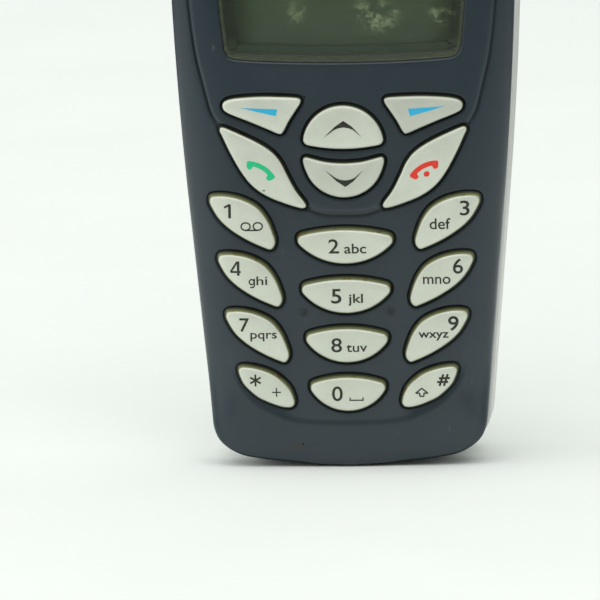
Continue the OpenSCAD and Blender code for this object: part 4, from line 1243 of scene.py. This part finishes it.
# Mailbox sign, star, plus, space, hash and shift arrow
signs["key_1"] += [loop(x, 35.46, 0.64, 0.54, 0.2) for x in (-14.1, -12.38)]
signs["key_1"].append(stroke((-14.2, 34.9), (-12.3, 34.9), 0.2))
star_middle = np.array([-13.19, 13.16])
for turn in np.radians([90, 30, -30]):
    way = 0.86 * np.array([math.cos(turn), math.sin(turn)])
    signs["key_star"].append(stroke(star_middle - way, star_middle + way, 0.26))
signs["key_star"] += [stroke((-10.86, 11.4), (-9.6, 11.4), 0.17),
                      stroke((-10.23, 10.76), (-10.23, 12.04), 0.17)]
space_sign = (((0.22, 10.55), (0.22, 10.1)), ((0.12, 10.14), (2.15, 10.14)), ((2.05, 10.55), (2.05, 10.1)))
signs["key_0"] += [stroke(start, end, 0.17) for start, end in space_sign]
hash_middle = np.array([13.52, 12.94])
hash_sign = (((-0.56, -0.84), (0.0, 0.84)), ((0.06, -0.84), (0.62, 0.84)), ((-0.64, 0.27), (0.92, 0.27)),
             ((-0.9, -0.27), (0.66, -0.27)))
signs["key_hash"] += [stroke(hash_middle + start, hash_middle + end, 0.3) for start, end in hash_sign]
arrow = [(10.13, 10.62), (10.13, 11.08), (9.55, 11.08), (10.42, 11.78), (11.29, 11.08), (10.71, 11.08),
         (10.71, 10.62), (10.13, 10.62)]
signs["key_hash"] += [stroke(a, b, 0.19) for a, b in zip(arrow, arrow[1:])]
chevron = np.array([(-2.78, 48.12), (-1.3, 49.2), (-0.65, 49.46), (0.02, 49.55), (0.7, 49.46), (1.35, 49.2),
                    (2.6, 48.12), (1.2, 49.68), (0.02, 50.5), (-1.18, 49.68)])
signs["key_scroll_up"] = [(chevron, [tuple(range(len(chevron)))])]
down_mirror = 91.5
signs["key_scroll_down"] = [(chevron * [1, -1] + [0.12, down_mirror], [tuple(range(len(chevron)))])]
for name, shapes in signs.items():
    print_on(name, shapes, dark_ink)

right_bar = np.array([(14.45, 52.45), (9.2, 52.12), (9.48, 51.05)])
left_bar = np.array([(-14.5, 52.5), (-9.25, 52.25), (-9.5, 51.27)])
print_on("key_soft_right", [(right_bar, [(0, 1, 2)])], blue_ink)
print_on("key_soft_left", [(left_bar, [(0, 1, 2)])], blue_ink)
handset_r = 4.4
handset_bend = 0.52
handset_points = 73
bar_up = 0.36
bar_down = 0.32
ear_more = 0.5
ear_from = 0.56
ear_run = 0.12
round_from = 0.86
round_run = 0.16
handset_turn = np.linspace(math.pi / 2 + handset_bend, math.pi / 2 - handset_bend, handset_points)
handset_path = handset_r * np.stack([np.cos(handset_turn), np.sin(handset_turn) - math.cos(handset_bend)], 1)
ear_share = np.abs(np.linspace(-1, 1, handset_points))
ear_round = np.sqrt(np.clip(1 - (np.maximum(0, ear_share - round_from) / round_run) ** 2, 0.1, 1))
ear_down = bar_down + ear_more * smooth((ear_share - ear_from) / ear_run)
handset = ribbon(handset_path, bar_up * ear_round, ear_down * ear_round)


def turned(shape, degrees, place):
    """A flat shape turned about the origin and set at a place."""
    turn = math.radians(degrees)
    across = np.array([math.cos(turn), math.sin(turn)])
    points = shape[0][:, :1] * across + shape[0][:, 1:] * across[::-1] * flip
    return points + place, shape[1]


dot = (np.stack([0.44 * np.cos(loop_turn), 0.38 * np.sin(loop_turn)], 1), [tuple(range(len(loop_turn)))])
red_shapes = [turned(handset, 28, (11.42, 43.3)), turned(dot, 28, (11.68, 42.76))]
print_on("key_end", red_shapes, red_ink)
print_on("key_call", [turned(handset, -31, (-11.88, 43.42))], green_ink)

# Key mat and domes
# Behind the caps lies a mat of translucent silicone rubber with a plunger under each key, on a sheet of
# plated metal domes stuck to the board.

silicone = moulded("grey_silicone", (0.5, 0.51, 0.48), 0.65)
dress(silicone, "keymat")
gold_plate = drawn_metal("gold_plate", (0.75, 0.58, 0.3), 0.3)
dress(gold_plate, "dome_sheet", "battery_contacts", "antenna")

# Circuit board
# A green coated laminate carries black chips under soldered shield cans, the ringer, the microphone in its
# rubber boot, and the switch under the power button. Six screws hold it to the frame.

track_scale = 500.0
laminate = finish("green_laminate", (0.02, 0.12, 0.06), 0.35)
tracks = add_node(laminate, "ShaderNodeTexVoronoi", distance="CHEBYCHEV")
tracks.inputs["Scale"].default_value = track_scale
connect(laminate, own_coords(laminate), tracks.inputs["Vector"])
copper = ramp(laminate, tracks.outputs["Distance"], (0.3, (0.015, 0.1, 0.05)), (0.6, (0.03, 0.16, 0.08)))
connect(laminate, copper, "Base Color")
bumped(laminate, tracks.outputs["Distance"], 0.02)
dress(laminate, "circuit_board")
black_resin = moulded("black_resin", (0.016, 0.016, 0.018), 0.4)
dress(black_resin, "chips", "buzzer")
boot_rubber = moulded("black_rubber", (0.014, 0.014, 0.014), 0.75)
dress(boot_rubber, "microphone_boot")
switch_plastic = moulded("ivory_plastic", (0.68, 0.66, 0.58), 0.45)
dress(switch_plastic, "power_switch")

# Vibration motor's weight
# The lopsided weight is pressed from tungsten powder, sintered and pushed on the motor's shaft, where it
# turns freely beside the motor's can.

sinter = drawn_metal("sintered_weight", (0.42, 0.4, 0.37), 0.5, (1, 1, 1))
dress(sinter, "vibration_weight")

# Frame, sockets, card and battery
# A grey glass-filled frame holds the board in front and the battery behind. The foot has a black socket
# block with two nickel sleeves. Card and battery lie under the rear cover.

frame_plastic = moulded("grey_filled_plastic", (0.3, 0.31, 0.3), 0.55, 0.15, 0.12)
dress(frame_plastic, "frame")
block_low, block_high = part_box("connector_block")
block_half = block_high.x / MM
block_top = block_high.z / MM
block_rise = 0.75
block_bevel = 0.3
block_across = np.linspace(-block_half, block_half, 49)
block_line = np.vstack([
    np.stack([block_across, block_rise * (block_across / block_half) ** 2], 1),
    [(block_half, block_top / 2), (block_half, block_top), (0, block_top), (-block_half, block_top),
     (-block_half, block_top / 2)]])
block_front, block_back = block_low.y / MM, block_high.y / MM
block_rows = [at_depth(grown(block_line, -inset), y) for inset, y in (
    (block_bevel, block_front), (0, block_front + block_bevel), (0, block_back - block_bevel),
    (block_bevel, block_back))]
count = len(block_line)
block_faces = strip_faces(len(block_rows), count) + [range(count), range(3 * count, 4 * count)]
connector_block = piece("connector_block_moulding", [(np.vstack(block_rows), block_faces)], black_resin,
                        "phone", weld=0, smooth_shaded=False)


def cut_away(made_piece, fill):
    """Takes a shape, filled into an empty mesh by a function, out of a closed piece."""
    cutter_mesh = bpy.data.meshes.new("cutter")
    shape = bmesh.new()
    fill(shape)
    shape.to_mesh(cutter_mesh)
    shape.free()
    cutter = put("cutter", cutter_mesh)
    cut = made_piece.modifiers.new("cut", "BOOLEAN")
    cut.operation = "DIFFERENCE"
    cut.solver = "EXACT"
    cut.object = cutter
    bpy.context.view_layer.update()
    result = bpy.data.meshes.new_from_object(made_piece.evaluated_get(bpy.context.evaluated_depsgraph_get()))
    made_piece.modifiers.remove(cut)
    made_piece.data = result
    bpy.data.objects.remove(cutter)
    bpy.data.meshes.remove(cutter_mesh)


bore_over = 1.0 * MM
for sleeve in ("charger_sleeve", "headset_sleeve"):
    low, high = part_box(sleeve)
    place = (low + high) / 2
    bore_r = (high.x - low.x) / 2
    bore_l = high.z + 2 * bore_over
    bore_middle = Matrix.Translation((place.x, place.y, high.z / 2 - bore_over))
    cut_away(connector_block, lambda shape: bmesh.ops.create_cone(
        shape, cap_ends=True, segments=48, radius1=bore_r, radius2=bore_r, depth=bore_l, matrix=bore_middle))
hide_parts("connector_block")
nickel = drawn_metal("nickel_plate", (0.66, 0.63, 0.56), 0.22)
dress(nickel, "charger_sleeve", "headset_sleeve")
card_plastic = moulded("white_card", (0.8, 0.8, 0.77), 0.45)
dress(card_plastic, "card")
battery_case = moulded("charcoal_case", (0.03, 0.031, 0.034), 0.5)
dress(battery_case, "battery")

# Rear cover
# The rear cover is a pale grey moulding that wraps round the back and the sides up to the parting line. It
# slides down and off once the release button is pressed.

rear_d = 13.8
rear_taper = 3.8
taper_z = 60.0
rear_edge = 8.0
rear_side = 0.4
rear_wall = 1.5
cover_top_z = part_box("rear_cover")[1].z / MM
rear_notch = 3.85
side_swell = 0.32
swell_from = 1.0
swell_run = 6.0
wall_rows = (0, 0.02, 0.15, 0.3, 0.5, 0.75, 0.95)


def rear_depth(z):
    """Depth of the back along its middle: even, but thinner with the square of the way down to the foot."""
    return rear_d - rear_taper * (np.maximum(0, taper_z - z) / taper_z) ** 2


def rear_rows(wall):
    """Rings of the back shell, from its rim along the slightly swelling side wall, round the edge and in to
    the spine."""
    width, side = edge_sizes(outline[:, 1], rear_edge, rear_side)
    swell = side_swell * smooth((outline[:, 1] - swell_from) / swell_run)

    def drawn(inset):
        """The outline drawn in by an inset and by the wall."""
        return outline + (np.minimum(inset + wall, spine_reach) / spine_reach)[:, None] * to_spine

    def ring(inset, share):
        """The outline drawn in by an inset, at a share of the depth."""
        points = drawn(inset)
        return at_depth(points, share * (rear_depth(points[:, 1]) - wall))

    rim = rim_gap(outline, rear_notch)
    side_top = side * (rear_depth(outline[:, 1]) - wall)
    rows = [at_depth(drawn(-swell * math.sin(share * math.pi / 2)), rim + share * (side_top - rim))
            for share in wall_rows]
    rows += [ring(width * (1 - math.cos(turn)) - swell * math.cos(turn), side + (1 - side) * math.sin(turn))
             for turn in np.linspace(0, math.pi / 2, 15)]
    rows += [ring(width + share * (spine_reach - width), 1) for share in np.linspace(0, 1, 12)[1:]]
    return rows


rear_plastic = moulded("pale_grey_plastic", (0.64, 0.66, 0.63), 0.42, 0.015, 0.05)
rear_all = rear_rows(0.0)[::-1] + rear_rows(rear_wall)
rear_part = (np.vstack(rear_all), strip_faces(len(rear_all), len(outline)))


def cut_flat(shell_piece, z, keep_below):
    """Cuts a closed shell level at a height and closes the cut."""
    shell = bmesh.new()
    shell.from_mesh(shell_piece.data)
    everything = shell.verts[:] + shell.edges[:] + shell.faces[:]
    bmesh.ops.bisect_plane(shell, geom=everything, dist=1e-7, plane_co=(0, 0, z * MM), plane_no=(0, 0, 1),
                           clear_outer=keep_below, clear_inner=not keep_below)
    bmesh.ops.holes_fill(shell, edges=[e for e in shell.edges if e.is_boundary], sides=0)
    cut = [f for f in shell.faces if abs(f.normal.z) > 0.99 and abs(f.calc_center_median().z - z * MM) < 1e-6]
    for f in cut:
        f.smooth = False
        for edge in f.edges:
            edge.smooth = False
    shell.to_mesh(shell_piece.data)
    shell.free()


rear_cover = piece("rear_cover_moulding", [rear_part], rear_plastic, "rear_cover")
cut_flat(rear_cover, cover_top_z, True)
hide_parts("rear_cover")

# Top cap
# The top cap is the fixed upper end of the back, in the same pale grey plastic. The release button fills a
# notch in its lower edge.

cap_gap = 0.2
button_gap = 0.25
notch_front = 7.0
notch_behind = 3.0
notch_below = 2.0
release_low, release_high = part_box("release_button")
release_z0 = cover_top_z + cap_gap
top_cap = piece("top_cap_moulding", [rear_part], rear_plastic, "phone")
cut_flat(top_cap, release_z0, False)
notch_half = release_high.x / MM + button_gap
notch_low = np.array([-notch_half, notch_front, release_z0 - notch_below]) * MM
notch_high = np.array([notch_half, rear_d + notch_behind, release_high.z / MM + button_gap]) * MM
notch_middle = Matrix.Translation(Vector((notch_low + notch_high) / 2))
notch_place = notch_middle @ Matrix.Diagonal((*(notch_high - notch_low), 1))
cut_away(top_cap, lambda shape: bmesh.ops.create_cube(shape, size=1.0, matrix=notch_place))
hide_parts("top_cap")

# Release button
# A dark thumb button, moulded with level ribs. Its lip behind the rear cover's upper edge holds the cover
# until the button is pressed.

rib_count = 4
rib_rise = 0.18
rib_ends = (5, 3)
release_proud = 0.3
release_corner = 0.7
release_edge = 0.3
button_step = 0.12
release_half = (release_high.x / MM, (release_high.z / MM - release_z0) / 2)
release_c = np.array([0.0, release_z0 + release_half[1]])


def rounded_box(half, r, count=8):
    """A rectangle's outline with round corners."""
    x, z = half[0] - r, half[1] - r
    return np.vstack([arc(*corner, r, quarter * math.pi / 2, (quarter + 1) * math.pi / 2, count)
                      for quarter, corner in enumerate(((x, z), (-x, z), (-x, -z), (x, -z)))])


def release_height(points):
    """Height of the button over the parting plane, with level ribs across its middle."""
    level = points[:, 1] - release_c[1]
    rib = np.cos(level / release_half[1] * rib_count * math.pi / 2) ** 2
    middle = smooth((1 - np.abs(points[:, 0]) / release_half[0]) * rib_ends[0])
    middle = smooth((1 - np.abs(level) / release_half[1]) * rib_ends[1]) * middle
    return rear_d + release_proud + rib_rise * rib * middle


button_plastic = moulded("dark_button_plastic", (0.032, 0.037, 0.046), 0.45)
release_line = evenly(rounded_box(release_half, release_corner) + release_c, button_step)
points, faces, _ = pillow(release_line, release_c, release_height, release_low.y / MM, release_edge,
                          top_rows=24)
points = points[:, [0, 2, 1]]
release_button = piece("release_button_cap", [(points, faces)], button_plastic, "release_button",
                       weld=0)
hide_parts("release_button")

# Power button
# A small dark button with round ends, moulded in one piece. It sits in the top end of the phone, on the
# parting line, in front of its switch.

power_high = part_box("power_button")[1]
power_line = evenly(stadium(2 * power_high.x / MM, 2 * power_high.y / MM, 24), button_step)
power_top = power_high.z / MM
power_depth = 3.0
power_crown = 0.15
power_edge = 0.35


def power_height(points):
    """Height of the button's top, a low crown."""
    return power_top - power_crown * (points[:, 0] / power_high.x * MM) ** 2


points, faces, _ = pillow(power_line, np.zeros(2), power_height, power_top - power_depth, power_edge)
power_button = piece("power_button_cap", [(points, faces)], button_plastic, "power_button",
                     weld=0)
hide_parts("power_button")

# Stage
# White paper that runs out of sight, a pale surround, a large soft lamp high in front and a weaker one at the
# left. Mirror rays find paper and surround dim further out, as the room round a small photo table is. The
# camera looks from a long way off, a little from above and from the right.

floor_half = 3.0
floor_corners = [(x * floor_half, y * floor_half, 0) for x, y in ((-1, -1), (1, -1), (1, 1), (-1, 1))]
floor_mesh = bpy.data.meshes.new("floor")
floor_mesh.from_pydata(floor_corners, [], [(0, 1, 2, 3)])
floor = put("floor", floor_mesh)
room_front = 0.08
paper_stretch = (0.6, 1, 1)
paper_shift = (0.024, 0, 0)
paper_dims = (0.15, 0.27)
surround_dims = (-0.5, -0.9)
surround_strength = 0.74
pale = (0.94, 0.975, 0.94)


def dim_room(owner, value, near, far):
    """Share of the dim room beyond the paper that a mirror ray meets, as a value goes from near to far."""
    both = add_node(owner, "ShaderNodeMath", operation="MULTIPLY")
    connect(owner, rise(owner, value, near, far), both.inputs[0])
    connect(owner, add_node(owner, "ShaderNodeLightPath").outputs["Is Glossy Ray"], both.inputs[1])
    return both.outputs[0]


paper = finish("white_paper", (0.86, 0.88, 0.86), 0.9, specular=0.1)
white = mottled(paper, 40, 2, (0.87, 0.895, 0.87), (0.89, 0.915, 0.89))
paper_shape = add_node(paper, "ShaderNodeMapping")
paper_shape.inputs["Scale"].default_value = paper_stretch
paper_shape.inputs["Location"].default_value = paper_shift
away = add_node(paper, "ShaderNodeVectorMath", operation="LENGTH")
connect(paper, own_coords(paper), paper_shape.inputs["Vector"])
connect(paper, paper_shape.outputs["Vector"], away.inputs[0])
dim_share = dim_room(paper, away.outputs["Value"], *paper_dims)
connect(paper, blend(paper, dim_share, white, tuple(room_front * c for c in (0.87, 0.9, 0.87))), "Base Color")
floor_mesh.materials.append(paper)

world = bpy.data.worlds.new("studio")
bpy.context.scene.world = world
world.use_nodes = True
sky = world.node_tree.nodes["Background"]
sky.inputs["Strength"].default_value = surround_strength
sky_apart = add_node(world, "ShaderNodeSeparateXYZ")
connect(world, add_node(world, "ShaderNodeTexCoord").outputs["Generated"], sky_apart.inputs[0])
sky_dim = dim_room(world, sky_apart.outputs["Y"], *surround_dims)
connect(world, blend(world, sky_dim, pale, tuple(room_front * c for c in pale)), sky.inputs["Color"])


def lamp(name, place, aim, size, power):
    """A large soft lamp aimed at a place, which the camera doesn't see."""
    data = bpy.data.lights.new(name, "AREA")
    data.shape = "DISK"
    data.size = size
    data.energy = power
    made_lamp = put(name, data)
    made_lamp.location = place
    made_lamp.rotation_mode = "QUATERNION"
    made_lamp.rotation_quaternion = (Vector(aim) - Vector(place)).to_track_quat("-Z", "Y")
    made_lamp.visible_camera = False


phone_middle = (0, 0, 0.05)
lamp("key_lamp", (0.0, -1.3, 1.9), phone_middle, 2.6, 24.0)
lamp("side_lamp", (-1.7, -0.2, 0.8), phone_middle, 1.4, 10.0)

view_azimuth = math.radians(3.0)
view_elevation = math.radians(10.0)
view_roll = math.radians(1.12)
view_distance = 1.5
pixels_per_mm = 7.05
image_px = 600
aim = np.array([-6.66, -9.0, 24.6]) * MM
level = math.cos(view_elevation)
back = np.array([math.sin(view_azimuth) * level, -math.cos(view_azimuth) * level, math.sin(view_elevation)])
right = np.array([math.cos(view_azimuth), math.sin(view_azimuth), 0])
upward = np.cross(back, right)
rolled_right = right * math.cos(view_roll) - upward * math.sin(view_roll)
rolled_up = upward * math.cos(view_roll) + right * math.sin(view_roll)
camera_data = bpy.data.cameras.new("camera")
camera_data.lens = camera_data.sensor_width * pixels_per_mm / MM * view_distance / image_px
camera_data.clip_end = 10
camera = put("camera", camera_data)
axes = np.eye(4)
axes[:3] = np.column_stack([rolled_right, rolled_up, back, aim + back * view_distance])
camera.matrix_world = Matrix(axes.tolist())
bpy.context.scene.camera = camera
bpy.context.scene.view_settings.view_transform = "Standard"
